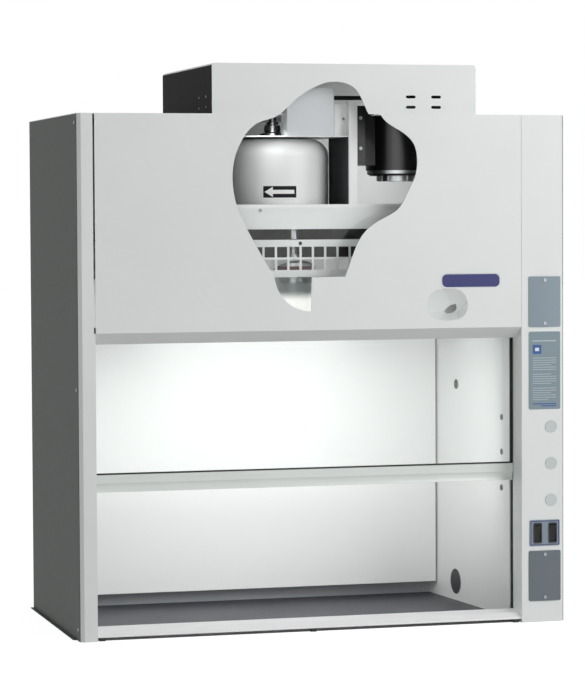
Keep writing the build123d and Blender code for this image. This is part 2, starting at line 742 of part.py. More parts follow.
with BuildPart() as blower_deck:
    with BuildSketch(Plane.XY.offset(DECK_BOTTOM)):
        Polygon(*chamber_plan(DECK_FRONT_DEPTH, LINING_DEPTH + LINER, -LINER), align=None)
        with Locations((BLOWER_X, BLOWER_Y)):
            Circle(INLET_RADIUS + SHEET + FIT, mode=Mode.SUBTRACT)
    extrude(amount=DECK)
    stiffener = [
        (STIFFENER_Y, DECK_BOTTOM - STIFFENER_DROP),
        (STIFFENER_Y, DECK_BOTTOM),
        (STIFFENER_Y + STIFFENER_DROP, DECK_BOTTOM),
    ]
    with BuildSketch(Plane.YZ.offset(STIFFENER_LEFT)):
        sheet_face(stiffener, -SHEET)
    extrude(amount=STIFFENER_LENGTH)
finish("blower_deck", blower_deck)

# Blower housing: a domed drum with its outlet at the back
BLOWER_TOP = DECK_TOP + BLOWER_HEIGHT
BLOWER_PLANE = turned_plane(BLOWER_X, BLOWER_Y)
BLOWER_AXIS = upright_axis(BLOWER_X, BLOWER_Y)
OUTLET_LEFT = BLOWER_X - BLOWER_RADIUS + OUTLET_INSET


def drum_section(inset):
    """Half section of the drum, brought in from its outer face by inset."""
    with BuildSketch(BLOWER_PLANE) as section:
        with Locations((0, DECK_TOP + inset)):
            Rectangle(BLOWER_RADIUS - inset, BLOWER_HEIGHT - 2 * inset, align=(Align.MIN, Align.MIN))
        shoulder = section.vertices().group_by(Axis.X)[-1].sort_by(Axis.Y)[-1]
        fillet(shoulder, BLOWER_SHOULDER - inset)
    return section.sketch


def outlet_section(inset):
    """Section of the outlet across the flow, brought in by inset."""
    width = OUTLET_WIDTH - 2 * inset
    height = OUTLET_HIGH - OUTLET_LOW - 2 * inset
    with BuildSketch(Plane.XZ.offset(-BLOWER_Y)) as section:
        with Locations((OUTLET_LEFT + inset, DECK_TOP + OUTLET_LOW + inset)):
            Rectangle(width, height, align=(Align.MIN, Align.MIN))
    return section.sketch


INLET_FLARE = 6.0
INLET_LENGTH = 12.0
INLET_PATH = [
    (INLET_RADIUS, DECK_TOP + INLET_LENGTH),
    (INLET_RADIUS, DECK_BOTTOM - SHEET),
    (INLET_RADIUS + INLET_FLARE, DECK_BOTTOM - SHEET),
]
OUTLET_LENGTH = OUTLET_END_DEPTH - BLOWER_DEPTH

with BuildPart() as blower_housing:
    revolve(drum_section(0), axis=BLOWER_AXIS)
    extrude(outlet_section(0), amount=-OUTLET_LENGTH)
    with BuildSketch(Plane.XY.offset(BLOWER_TOP)):
        with Locations((BLOWER_X, BLOWER_Y)):
            Circle(BOSS_RADIUS)
    extrude(amount=SHELF_BOTTOM - BLOWER_TOP)
    revolve(drum_section(BLOWER_WALL), axis=BLOWER_AXIS, mode=Mode.SUBTRACT)
    extrude(outlet_section(BLOWER_WALL), amount=-OUTLET_LENGTH, mode=Mode.SUBTRACT)
    with BuildSketch(Plane.XY.offset(DECK_TOP)):
        with Locations((BLOWER_X, BLOWER_Y)):
            Circle(INLET_RADIUS)
    extrude(amount=BLOWER_WALL, mode=Mode.SUBTRACT)
    with BuildSketch(Plane.XY.offset(BLOWER_TOP - BLOWER_WALL)):
        with Locations((BLOWER_X, BLOWER_Y)):
            Circle(SHAFT_RADIUS + SHAFT_CLEAR)
    extrude(amount=SHELF_TOP - BLOWER_TOP + BLOWER_WALL, mode=Mode.SUBTRACT)
    with BuildSketch(BLOWER_PLANE):
        sheet_face(INLET_PATH)
    revolve(axis=BLOWER_AXIS)
finish("blower_housing", blower_housing)

# Blower wheel
WHEEL_LOW = DECK_TOP + WHEEL_LIFT
WHEEL_TOP = WHEEL_LOW + WHEEL_HEIGHT
BLADE_INNER = 88.0
BLADE_WALL = 1.6
BLADE_BULGE = 5.0
BLADE_SWEEP = 12.0
WHEEL_RIM = 78.0

with BuildPart() as blower_wheel:
    with BuildSketch(Plane.XY.offset(WHEEL_TOP - WHEEL_PLATE)):
        with Locations((BLOWER_X, BLOWER_Y)):
            Circle(WHEEL_RADIUS)
    extrude(amount=WHEEL_PLATE)
    with BuildSketch(Plane.XY.offset(WHEEL_LOW)):
        with Locations((BLOWER_X, BLOWER_Y)):
            Circle(WHEEL_RADIUS)
            Circle(WHEEL_RIM, mode=Mode.SUBTRACT)
    extrude(amount=WHEEL_PLATE)
    with BuildSketch(Plane.XY.offset(WHEEL_TOP - WHEEL_PLATE)):
        with Locations((BLOWER_X, BLOWER_Y)):
            Circle(WHEEL_HUB)
    extrude(amount=-WHEEL_HUB)
    with BuildSketch(Plane.XY.offset(WHEEL_LOW + WHEEL_PLATE)):
        with BuildSketch(mode=Mode.PRIVATE) as blade:
            with BuildLine():
                sweep = math.radians(BLADE_SWEEP)
                tip = WHEEL_RADIUS - BLADE_WALL
                root = (BLADE_INNER, 0)
                end = (tip * math.cos(sweep), tip * math.sin(sweep))
                half = ((root[0] + end[0]) / 2 + BLADE_BULGE, (root[1] + end[1]) / 2 - BLADE_BULGE)
                ThreePointArc(root, half, end)
                offset(amount=BLADE_WALL, side=Side.LEFT)
            make_face()
        with Locations((BLOWER_X, BLOWER_Y)):
            with PolarLocations(0, WHEEL_BLADES):
                add(blade.sketch)
    extrude(amount=WHEEL_HEIGHT - 2 * WHEEL_PLATE)
    with BuildSketch(Plane.XY.offset(WHEEL_LOW)):
        with Locations((BLOWER_X, BLOWER_Y)):
            Circle(SHAFT_RADIUS)
    extrude(amount=WHEEL_HEIGHT, mode=Mode.SUBTRACT)
finish("blower_wheel", blower_wheel)

# Blower shaft, bearing and pulleys
SHAFT_LOW = WHEEL_TOP - WHEEL_PLATE - WHEEL_HUB - 6.0
SHAFT_TOP = PULLEY_Z + PULLEY_HEIGHT / 2 + 6.0
BEARING_RADIUS = 32.0
BEARING_BASE = 9.0
BEARING_NECK = 20.0
BEARING_HEIGHT = 37.0
BEARING_CAP = 15.0


def pulley_section(outer, bore):
    """Half section of a grooved pulley centred on the belt line."""
    half = PULLEY_HEIGHT / 2
    floor = outer - GROOVE_DEPTH
    Polygon(
        *[
            (bore, PULLEY_Z - half),
            (outer, PULLEY_Z - half),
            (outer, PULLEY_Z - GROOVE_TOP / 2),
            (floor, PULLEY_Z - GROOVE_FLOOR / 2),
            (floor, PULLEY_Z + GROOVE_FLOOR / 2),
            (outer, PULLEY_Z + GROOVE_TOP / 2),
            (outer, PULLEY_Z + half),
            (bore, PULLEY_Z + half),
        ],
        align=None,
    )


with BuildPart() as blower_shaft:
    with BuildSketch(Plane.XY.offset(SHAFT_LOW)):
        with Locations((BLOWER_X, BLOWER_Y)):
            Circle(SHAFT_RADIUS)
    extrude(amount=SHAFT_TOP - SHAFT_LOW)
finish("blower_shaft", blower_shaft)

with BuildPart() as shaft_bearing:
    bore = SHAFT_RADIUS + SHAFT_PLAY
    with BuildSketch(turned_plane(BLOWER_X, BLOWER_Y)):
        Polygon(
            *[
                (bore, SHELF_TOP),
                (BEARING_RADIUS, SHELF_TOP),
                (BEARING_RADIUS, SHELF_TOP + BEARING_BASE),
                (BEARING_NECK, SHELF_TOP + BEARING_BASE + 4.0),
                (BEARING_NECK, SHELF_TOP + BEARING_HEIGHT - 8.0),
                (BEARING_CAP, SHELF_TOP + BEARING_HEIGHT - 6.0),
                (BEARING_CAP, SHELF_TOP + BEARING_HEIGHT),
                (bore, SHELF_TOP + BEARING_HEIGHT),
            ],
            align=None,
        )
    revolve(axis=BLOWER_AXIS)
finish("shaft_bearing", shaft_bearing)

with BuildPart() as blower_pulley:
    with BuildSketch(turned_plane(BLOWER_X, BLOWER_Y)):
        pulley_section(BLOWER_PULLEY_RADIUS, SHAFT_RADIUS)
    revolve(axis=BLOWER_AXIS)
finish("blower_pulley", blower_pulley)

with BuildPart() as motor_pulley:
    with BuildSketch(turned_plane(MOTOR_X, MOTOR_Y)):
        pulley_section(MOTOR_PULLEY_RADIUS, MOTOR_SHAFT_RADIUS)
    revolve(axis=upright_axis(MOTOR_X, MOTOR_Y))
finish("motor_pulley", motor_pulley)

with BuildPart() as drive_belt:
    with BuildSketch(Plane.XY.offset(PULLEY_Z - BELT_HEIGHT / 2)):
        for reach, mode in ((BELT_THICKNESS, Mode.ADD), (0, Mode.SUBTRACT)):
            with BuildSketch(mode=Mode.PRIVATE) as loop:
                with Locations((BLOWER_X, BLOWER_Y)):
                    Circle(BLOWER_PULLEY_RADIUS - GROOVE_DEPTH + FIT + reach)
                with Locations((MOTOR_X, MOTOR_Y)):
                    Circle(MOTOR_PULLEY_RADIUS - GROOVE_DEPTH + FIT + reach)
                make_hull()
            add(loop.sketch, mode=mode)
    extrude(amount=BELT_HEIGHT)
finish("drive_belt", drive_belt)

# Drive shelf with its upturned tab
TAB_SETBACK = 108.0
TAB_LEFT = 52.0
TAB_HEIGHT = 77.0
TAB_FOOT = 14.0
TAB_HOLE = 3.5
TAB_HOLE_INSET = 6.0
TAB_HOLE_RISE = 42.0

with BuildPart() as drive_shelf:
    with BuildSketch(Plane.XY.offset(SHELF_BOTTOM)):
        shelf_front = MECH_FRONT + 4.0
        shelf_depth = FRONT + SHELF_BACK_DEPTH - shelf_front
        with Locations((SHELF_LEFT, shelf_front)):
            Rectangle(UPRIGHT_X - SHELF_LEFT, shelf_depth, align=(Align.MIN, Align.MIN))
        with Locations((BLOWER_X, BLOWER_Y)):
            Circle(SHAFT_RADIUS + SHAFT_CLEAR, mode=Mode.SUBTRACT)
    extrude(amount=SHELF)
    path = [
        (FRONT + TAB_SETBACK, SHELF_TOP + TAB_HEIGHT),
        (FRONT + TAB_SETBACK, SHELF_TOP),
        (FRONT + TAB_SETBACK + TAB_FOOT, SHELF_TOP),
    ]
    with BuildSketch(Plane.YZ.offset(TAB_LEFT)):
        sheet_face(path)
    extrude(amount=UPRIGHT_X - TAB_LEFT)
    with BuildSketch(front_plane(TAB_SETBACK)):
        with Locations((UPRIGHT_X - TAB_HOLE_INSET, SHELF_TOP + TAB_HOLE_RISE)):
            Circle(TAB_HOLE)
    extrude(amount=-SHEET, mode=Mode.SUBTRACT)
finish("drive_shelf", drive_shelf)

# Uprights on the cross beam
with BuildPart() as uprights:
    for x, top in ((UPRIGHT_X, UPRIGHT_TOP), (SHELF_LEFT, SHELF_BOTTOM)):
        path = [
            (x, MECH_FRONT + UPRIGHT_DEPTH),
            (x, MECH_FRONT),
            (x + UPRIGHT_WIDTH, MECH_FRONT),
            (x + UPRIGHT_WIDTH, MECH_FRONT + UPRIGHT_DEPTH),
        ]
        with BuildSketch(Plane.XY.offset(BEAM_TOP)):
            sheet_face(path)
        extrude(amount=top - BEAM_TOP)
finish("uprights", uprights)

# Partition beside the blower
PARTITION_FRONT = MECH_FRONT + 6.0
PARTITION_LIP = 4.0

with BuildPart() as partition:
    path = [
        (UPRIGHT_X, PARTITION_FRONT),
        (UPRIGHT_X, FRONT + PARTITION_END),
        (UPRIGHT_X - PARTITION_LIP, FRONT + PARTITION_END),
    ]
    with BuildSketch(Plane.XY.offset(BEAM_TOP)):
        sheet_face(path)
    extrude(amount=SHELF_BOTTOM - BEAM_TOP)
    with BuildSketch(Plane.XY.offset(DECK_TOP)):
        with Locations((UPRIGHT_X - SHEET, GRILLE_BACK + BEAM_FLANGE + FIT)):
            Rectangle(
                SHEET,
                FRONT + PARTITION_END - GRILLE_BACK - BEAM_FLANGE - FIT,
                align=(Align.MIN, Align.MIN),
            )
    extrude(amount=BEAM_TOP - DECK_TOP)
finish("partition", partition)

# Relay box
with BuildPart() as relay_box:
    with BuildSketch(Plane.XY.offset(SHELF_TOP)):
        with Locations((BOX_LEFT, FRONT + BOX_SETBACK)):
            Rectangle(BOX_WIDTH, BOX_DEPTH, align=(Align.MIN, Align.MIN))
    extrude(amount=BOX_HEIGHT)
    fillet(relay_box.edges().filter_by(Axis.Z), 1.5)
finish("relay_box", relay_box)

# Motor, its bracket and shaft
MOTOR_TOP = PULLEY_Z - PULLEY_HEIGHT / 2 - 6.0
MOTOR_LOW = MOTOR_TOP - MOTOR_END - MOTOR_LENGTH
MOTOR_AXIS = upright_axis(MOTOR_X, MOTOR_Y)
VENT_RADIUS = 56.0
VENT_DROP = 13.0
BRACKET_BOTTOM = MOTOR_LOW + BRACKET_LOW
BRACKET_TOP = UPRIGHT_TOP - 11.0
CRADLE_WIDTH = 76.0
BRACKET_SCREW_X = 117.5
BRACKET_SCREW_RISE = (40.0, 113.0)

with BuildPart() as motor_body:
    with BuildSketch(Plane.XY.offset(MOTOR_LOW)):
        with Locations((MOTOR_X, MOTOR_Y)):
            Circle(MOTOR_RADIUS)
    extrude(amount=MOTOR_LENGTH)
finish("motor_body", motor_body)

with BuildPart() as motor_ends:
    with BuildSketch(turned_plane(MOTOR_X, MOTOR_Y)):
        Polygon(
            *[
                (0, MOTOR_LOW - MOTOR_END),
                (MOTOR_RADIUS - 10.0, MOTOR_LOW - MOTOR_END),
                (MOTOR_RADIUS - 3.0, MOTOR_LOW - MOTOR_END + 5.0),
                (MOTOR_RADIUS - 3.0, MOTOR_LOW),
                (0, MOTOR_LOW),
            ],
            align=None,
        )
    revolve(axis=MOTOR_AXIS)
    with BuildSketch(turned_plane(MOTOR_X, MOTOR_Y)):
        Polygon(
            *[
                (MOTOR_SHAFT_RADIUS + SHAFT_PLAY, MOTOR_LOW + MOTOR_LENGTH),
                (MOTOR_RADIUS - 3.0, MOTOR_LOW + MOTOR_LENGTH),
                (MOTOR_RADIUS - 12.0, MOTOR_TOP - 2.0),
                (MOTOR_SHAFT_RADIUS * 2, MOTOR_TOP),
                (MOTOR_SHAFT_RADIUS + SHAFT_PLAY, MOTOR_TOP),
            ],
            align=None,
        )
    revolve(axis=MOTOR_AXIS)
    with BuildSketch(Plane.XY.offset(MOTOR_LOW - MOTOR_END)):
        with Locations((MOTOR_X, MOTOR_Y)):
            Circle(VENT_RADIUS)
            with PolarLocations(VENT_RADIUS, 16):
                Rectangle(12.0, 8.0, mode=Mode.SUBTRACT)
    extrude(amount=-VENT_DROP)
finish("motor_ends", motor_ends)

with BuildPart() as motor_shaft:
    with BuildSketch(Plane.XY.offset(MOTOR_LOW + MOTOR_LENGTH + 1.0)):
        with Locations((MOTOR_X, MOTOR_Y)):
            Circle(MOTOR_SHAFT_RADIUS)
    extrude(amount=SHAFT_TOP - MOTOR_LOW - MOTOR_LENGTH - 1.0)
finish("motor_shaft", motor_shaft)

with BuildPart() as motor_bracket:
    plate_y = MECH_FRONT + UPRIGHT_DEPTH
    path = [
        (UPRIGHT_X + SHEET + FIT, plate_y),
        (BRACKET_X, plate_y),
        (BRACKET_X, MOTOR_Y + CRADLE_WIDTH / 2),
    ]
    with BuildSketch(Plane.XY.offset(BRACKET_BOTTOM)):
        sheet_face(path, BRACKET_PLATE)
        with Locations((BRACKET_X, MOTOR_Y - CRADLE_WIDTH / 2)):
            Rectangle(
                MOTOR_X - MOTOR_RADIUS - BRACKET_X + 12.0, CRADLE_WIDTH, align=(Align.MIN, Align.MIN)
            )
        with Locations((MOTOR_X, MOTOR_Y)):
            Circle(MOTOR_RADIUS + FIT, mode=Mode.SUBTRACT)
    extrude(amount=BRACKET_TOP - BRACKET_BOTTOM)
    with BuildSketch(Plane.XZ.offset(-plate_y)):
        with Locations(*[(BRACKET_SCREW_X, BRACKET_BOTTOM + rise) for rise in BRACKET_SCREW_RISE]):
            Circle(SCREW_RADIUS + FIT)
    extrude(amount=-BRACKET_PLATE, mode=Mode.SUBTRACT)
finish("motor_bracket", motor_bracket)

# Exhaust duct and collar
SPIGOT_RADIUS = COLLAR_RADIUS + FIT + SHEET
DUCT_TOP = CANOPY_TOP - COLLAR_LENGTH
SPIGOT = 12.0


def duct_solid(inset):
    """Duct from the blower outlet up to a round spigot, brought in by inset."""
    low = DECK_TOP + OUTLET_LOW + inset
    shoulder = DECK_TOP + OUTLET_HIGH + DUCT_SHOULDER
    near = FRONT + OUTLET_END_DEPTH + inset
    size = (OUTLET_WIDTH - 2 * inset, FRONT + DUCT_END_DEPTH - inset - near)
    with BuildPart(mode=Mode.PRIVATE) as duct:
        with BuildSketch(Plane.XY.offset(low)):
            with Locations((OUTLET_LEFT + inset, near)):
                Rectangle(*size, align=(Align.MIN, Align.MIN))
        extrude(amount=shoulder - low)
        with BuildSketch(Plane.XY.offset(shoulder)):
            with Locations((OUTLET_LEFT + inset, near)):
                Rectangle(*size, align=(Align.MIN, Align.MIN))
        with BuildSketch(Plane.XY.offset(DUCT_TOP)):
            with Locations((COLLAR_X, COLLAR_Y)):
                Circle(SPIGOT_RADIUS - inset)
        loft()
        with BuildSketch(Plane.XY.offset(DUCT_TOP)):
            with Locations((COLLAR_X, COLLAR_Y)):
                Circle(SPIGOT_RADIUS - inset)
        extrude(amount=SPIGOT)
    return duct.part


with BuildPart() as exhaust_duct:
    add(duct_solid(0))
    add(duct_solid(SHEET), mode=Mode.SUBTRACT)
    with BuildSketch(Plane.XZ.offset(-(FRONT + OUTLET_END_DEPTH))):
        with Locations((OUTLET_LEFT + BLOWER_WALL, DECK_TOP + OUTLET_LOW + BLOWER_WALL)):
            height = OUTLET_HIGH - OUTLET_LOW - 2 * BLOWER_WALL
            Rectangle(OUTLET_WIDTH - 2 * BLOWER_WALL, height, align=(Align.MIN, Align.MIN))
    extrude(amount=-2 * SHEET, mode=Mode.SUBTRACT)
finish("exhaust_duct", exhaust_duct)

COLLAR_FLANGE = 8.0

with BuildPart() as exhaust_collar:
    with BuildSketch(turned_plane(COLLAR_X, COLLAR_Y)):
        Polygon(
            *[
                (COLLAR_RADIUS - SHEET, DUCT_TOP),
                (COLLAR_RADIUS, DUCT_TOP),
                (COLLAR_RADIUS, CANOPY_TOP - 2 * SHEET),
                (COLLAR_RADIUS + COLLAR_FLANGE, CANOPY_TOP - 2 * SHEET),
                (COLLAR_RADIUS + COLLAR_FLANGE, CANOPY_TOP - SHEET),
                (COLLAR_RADIUS, CANOPY_TOP - SHEET),
                (COLLAR_RADIUS, CANOPY_TOP),
                (COLLAR_RADIUS - SHEET, CANOPY_TOP),
            ],
            align=None,
        )
    revolve(axis=upright_axis(COLLAR_X, COLLAR_Y))
finish("exhaust_collar", exhaust_collar)

# Canopy
CANOPY_CUT = [
    (-106, -3), (-78, 21), (-53, 43), (-20, 63), (4, 73), (33, 78),
    (70, 71), (86.5, 59.5), (97, 44), (109, 18), (121, -3),
]
VENT_SLOT = (24.5, 7.0)
VENT_X = (222.5, 286.0)
VENT_RISE = (43.0, 18.5)
SIDE_VENT_DEPTH = (102.0, 172.0)
SIDE_VENT_RADIUS = 3.0

with BuildPart() as canopy:
    with BuildSketch(Plane.XZ.offset(-CANOPY_FRONT)) as shell_face:
        with Locations((CANOPY_LEFT, BODY_HEIGHT)):
            Rectangle(CANOPY_WIDTH, CANOPY_HEIGHT, align=(Align.MIN, Align.MIN))
        fillet(shell_face.vertices().group_by(Axis.Y)[-1], CANOPY_CORNER)
    extrude(amount=-CANOPY_DEPTH)
    with BuildSketch(Plane.XZ.offset(-CANOPY_FRONT - SHEET)) as inner_face:
        with Locations((CANOPY_LEFT + SHEET, BODY_HEIGHT + SHEET)):
            Rectangle(CANOPY_WIDTH - 2 * SHEET, CANOPY_HEIGHT - 2 * SHEET, align=(Align.MIN, Align.MIN))
        fillet(inner_face.vertices().group_by(Axis.Y)[-1], CANOPY_CORNER - SHEET)
    extrude(amount=-(CANOPY_DEPTH - 2 * SHEET), mode=Mode.SUBTRACT)
    with BuildSketch(Plane.XY.offset(BODY_HEIGHT)):
        with Locations((BAY_LEFT, BAY_FRONT)):
            Rectangle(BAY_RIGHT - BAY_LEFT, BAY_BACK - BAY_FRONT, align=(Align.MIN, Align.MIN))
        with Locations((NOTCH_LEFT, CANOPY_FRONT)):
            Rectangle(NOTCH_RIGHT - NOTCH_LEFT, BAY_FRONT - CANOPY_FRONT, align=(Align.MIN, Align.MIN))
    extrude(amount=SHEET, mode=Mode.SUBTRACT)
    with BuildSketch(Plane.XZ.offset(-CANOPY_FRONT)):
        with BuildLine():
            rim = Spline(*[(x, BODY_HEIGHT + rise) for x, rise in CANOPY_CUT])
            Line(rim @ 1, rim @ 0)
        make_face()
        with Locations(*[(x, BODY_HEIGHT + rise) for x in VENT_X for rise in VENT_RISE]):
            SlotOverall(*VENT_SLOT)
    extrude(amount=-SHEET, mode=Mode.SUBTRACT)
    with BuildSketch(Plane.YZ.offset(CANOPY_LEFT)):
        with Locations(*[(FRONT + d, BODY_HEIGHT + rise) for d in SIDE_VENT_DEPTH for rise in VENT_RISE]):
            Circle(SIDE_VENT_RADIUS)
    extrude(amount=CANOPY_WIDTH, mode=Mode.SUBTRACT)
    with BuildSketch(Plane.XY.offset(CANOPY_TOP)):
        with Locations((COLLAR_X, COLLAR_Y)):
            Circle(COLLAR_RADIUS + FIT)
    extrude(amount=-SHEET, mode=Mode.SUBTRACT)
finish("canopy", canopy)

# Jar lamp hung from the deck
LAMP_AXIS = upright_axis(LAMP_X, LAMP_Y)
FITTING_RADIUS = 13.0
FITTING_LOW = DECK_BOTTOM - 27.0
CAP_TOP = JAR_TOP + 71.0
CAP_LOW = JAR_TOP + 43.0
SEAT_LOW = JAR_TOP + 34.0
HOLDER_LOW = JAR_TOP + 3.0
HOLDER_RADIUS = JAR_RADIUS + 1.5
RING_RADIUS = JAR_RADIUS + 3.7
RING_LOW = JAR_TOP + 12.0
RING_HEIGHT = 6.0


LAMP_PLANE = turned_plane(LAMP_X, LAMP_Y)

with BuildPart() as lamp_conduit:
    with BuildSketch(LAMP_PLANE):
        Polygon(
            (0, CAP_LOW),
            (JAR_RADIUS - 1.3, CAP_LOW),
            (JAR_RADIUS - 1.3, CAP_LOW + 8.0),
            (JAR_RADIUS - 9.0, CAP_LOW + 14.0),
            (CONDUIT_RADIUS + 7.0, CAP_LOW + 18.0),
            (CONDUIT_RADIUS + 5.0, CAP_TOP),
            (CONDUIT_RADIUS, CAP_TOP),
            (CONDUIT_RADIUS, FITTING_LOW),
            (FITTING_RADIUS, FITTING_LOW + 2.0),
            (FITTING_RADIUS, DECK_BOTTOM),
            (0, DECK_BOTTOM),
            align=None,
        )
    revolve(axis=LAMP_AXIS)
finish("lamp_conduit", lamp_conduit)

with BuildPart() as lamp_gasket:
    with BuildSketch(Plane.XY.offset(SEAT_LOW)):
        with Locations((LAMP_X, LAMP_Y)):
            Circle(JAR_RADIUS - 1.0)
    extrude(amount=CAP_LOW - SEAT_LOW)
finish("lamp_gasket", lamp_gasket)

with BuildPart() as lamp_ring:
    with BuildSketch(LAMP_PLANE):
        Polygon(
            (0, SEAT_LOW - 4.0),
            (JAR_RADIUS, SEAT_LOW - 4.0),
            (JAR_RADIUS, HOLDER_LOW),
            (HOLDER_RADIUS, HOLDER_LOW),
            (HOLDER_RADIUS, RING_LOW),
            (RING_RADIUS, RING_LOW),
            (RING_RADIUS, RING_LOW + RING_HEIGHT),
            (HOLDER_RADIUS, RING_LOW + RING_HEIGHT),
            (HOLDER_RADIUS, SEAT_LOW),
            (0, SEAT_LOW),
            align=None,
        )
    revolve(axis=LAMP_AXIS)
finish("lamp_ring", lamp_ring)

JAR_RIM = SEAT_LOW - 4.0 - FIT
JAR_DOME = 34.0

with BuildPart() as lamp_jar:
    with BuildSketch(turned_plane(LAMP_X, LAMP_Y)):
        for inset, mode in ((0, Mode.ADD), (JAR_WALL, Mode.SUBTRACT)):
            with BuildSketch(mode=Mode.PRIVATE) as bowl:
                low = JAR_BOTTOM + inset
                with Locations((0, low)):
                    Rectangle(JAR_RADIUS - FIT - inset, JAR_RIM - low, align=(Align.MIN, Align.MIN))
                corner = bowl.vertices().group_by(Axis.Y)[0].sort_by(Axis.X)[-1]
                fillet(corner, JAR_DOME - inset)
            add(bowl.sketch, mode=mode)
    revolve(axis=LAMP_AXIS)
finish("lamp_jar", lamp_jar)

# Sash glass, handle and seals
HANDLE_GAP = 1.0
HANDLE_FRONT = JAMB_BACK - 2.0
HANDLE_TOP = SASH_REST + HANDLE_HEIGHT
GRIP_TOP = SASH_REST + 21.0
GLASS_FRONT = GLASS_Y - GLASS / 2
GLASS_BACK = GLASS_Y + GLASS / 2

with BuildPart() as sash_glass:
    with BuildSketch(Plane.XZ.offset(-GLASS_FRONT)):
        with Locations((OPEN_LEFT - GLASS_ENTRY, GLASS_BOTTOM)):
            Rectangle(
                OPEN_RIGHT - OPEN_LEFT + 2 * GLASS_ENTRY, GLASS_HEIGHT, align=(Align.MIN, Align.MIN)
            )
    extrude(amount=-GLASS)
finish("sash_glass", sash_glass)

with BuildPart() as sash_handle:
    with BuildSketch(Plane.YZ.offset(OPEN_LEFT + HANDLE_GAP)):
        with BuildLine():
            ThreePointArc(
                (HANDLE_FRONT + 1.5, GRIP_TOP),
                (HANDLE_FRONT + 5.0, (GRIP_TOP + SASH_REST) / 2),
                (HANDLE_FRONT + 2.0, SASH_REST),
            )
            Polyline(
                (HANDLE_FRONT + 2.0, SASH_REST),
                (HANDLE_FRONT + HANDLE_BACK, SASH_REST),
                (HANDLE_FRONT + HANDLE_BACK, HANDLE_TOP),
                (GLASS_BACK, HANDLE_TOP),
                (GLASS_BACK, GLASS_BOTTOM),
                (GLASS_FRONT, GLASS_BOTTOM),
                (GLASS_FRONT, HANDLE_TOP),
                (HANDLE_FRONT, HANDLE_TOP),
                (HANDLE_FRONT, GRIP_TOP),
                (HANDLE_FRONT + 1.5, GRIP_TOP),
            )
        make_face()
    extrude(amount=OPEN_RIGHT - OPEN_LEFT - 2 * HANDLE_GAP)
finish("sash_handle", sash_handle)

SEAL_PROUD = 4.0
SEAL_BOTTOM = 3.5

with BuildPart() as sash_seal:
    with BuildSketch(Plane.XZ.offset(-GLASS_FRONT)):
        for x, align in ((OPEN_LEFT - 1.0, Align.MIN), (OPEN_RIGHT + 1.0, Align.MAX)):
            with Locations((x, HANDLE_TOP)):
                Rectangle(SEAL + 1.0, GLASS_TOP - HANDLE_TOP, align=(align, Align.MIN))
        with Locations((OPEN_MID, HANDLE_TOP)):
            Rectangle(OPEN_RIGHT - OPEN_LEFT, SEAL_BOTTOM, align=(Align.CENTER, Align.MIN))
    extrude(amount=SEAL_PROUD)
finish("sash_seal", sash_seal)

# Shoes that grip the glass corners and the belts
SHOE_DEPTH = TRACK_DEPTH - 2 * SHEET - 2.0
SHOE_START = 2.0
SHOE_END = 28.0

with BuildPart() as sash_shoes:
    for side in (-1, 1):
        near = OPEN_RIGHT if side > 0 else OPEN_LEFT
        shoe_mid = near + side * (SHOE_START + SHOE_END) / 2
        with BuildSketch(Plane.XY.offset(GLASS_TOP - SHOE_HEIGHT)):
            with Locations((shoe_mid, GLASS_Y)):
                Rectangle(SHOE_END - SHOE_START, SHOE_DEPTH)
            with Locations((near + side * BELT_OFFSET, GLASS_Y)):
                Rectangle(SASH_BELT_WIDTH + 2 * FIT, SASH_BELT + 2 * FIT, mode=Mode.SUBTRACT)
        extrude(amount=SHOE_HEIGHT)
        with BuildSketch(Plane.XY.offset(GLASS_TOP - SHOE_HEIGHT)):
            with Locations((near + side * GLASS_ENTRY / 2, GLASS_Y)):
                Rectangle(GLASS_ENTRY, GLASS)
        extrude(amount=SHOE_HEIGHT, mode=Mode.SUBTRACT)
finish("sash_shoes", sash_shoes)

# Sash belts, pulleys, pins and plates
BELT_X = {-1: OPEN_LEFT - BELT_OFFSET, 1: OPEN_RIGHT + BELT_OFFSET}
PULLEY_CORE = SASH_BELT_WIDTH + 2 * FIT
RIM_RADIUS = SASH_PULLEY_RADIUS + PULLEY_RIM
RIM_WIDTH = 1.5
PLATE = 3.0
PLATE_REACH = 14.0
PLATE_HALF = 22.0
PIN_HEAD = 6.0
PIN_GAP = 0.5
PLATE_INSET = 2.0


def sash_pulley(side, z):
    """Flanged pulley of a sash belt."""
    start = BELT_X[side] - PULLEY_CORE / 2
    with BuildPart(mode=Mode.PRIVATE) as pulley:
        with BuildSketch(Plane.YZ.offset(start)):
            with Locations((SASH_PULLEY_Y, z)):
                Circle(SASH_PULLEY_RADIUS)
        extrude(amount=PULLEY_CORE)
        for x in (start - RIM_WIDTH, start + PULLEY_CORE):
            with BuildSketch(Plane.YZ.offset(x)):
                with Locations((SASH_PULLEY_Y, z)):
                    Circle(RIM_RADIUS)
            extrude(amount=RIM_WIDTH)
        with BuildSketch(Plane.YZ.offset(start - RIM_WIDTH)):
            with Locations((SASH_PULLEY_Y, z)):
                Circle(PIN_RADIUS + SHAFT_PLAY)
        extrude(amount=PULLEY_CORE + 2 * RIM_WIDTH, mode=Mode.SUBTRACT)
    return pulley.part


with BuildPart() as sash_belts:
    for x in BELT_X.values():
        with BuildSketch(Plane.YZ.offset(x - SASH_BELT_WIDTH / 2)):
            for reach, mode in ((SASH_BELT, Mode.ADD), (0, Mode.SUBTRACT)):
                with BuildSketch(mode=Mode.PRIVATE) as loop:
                    with Locations((SASH_PULLEY_Y, TOP_PULLEY_Z), (SASH_PULLEY_Y, LOW_PULLEY_Z)):
                        Circle(SASH_PULLEY_RADIUS + FIT + reach)
                    make_hull()
                add(loop.sketch, mode=mode)
        extrude(amount=SASH_BELT_WIDTH)
finish("sash_belts", sash_belts)

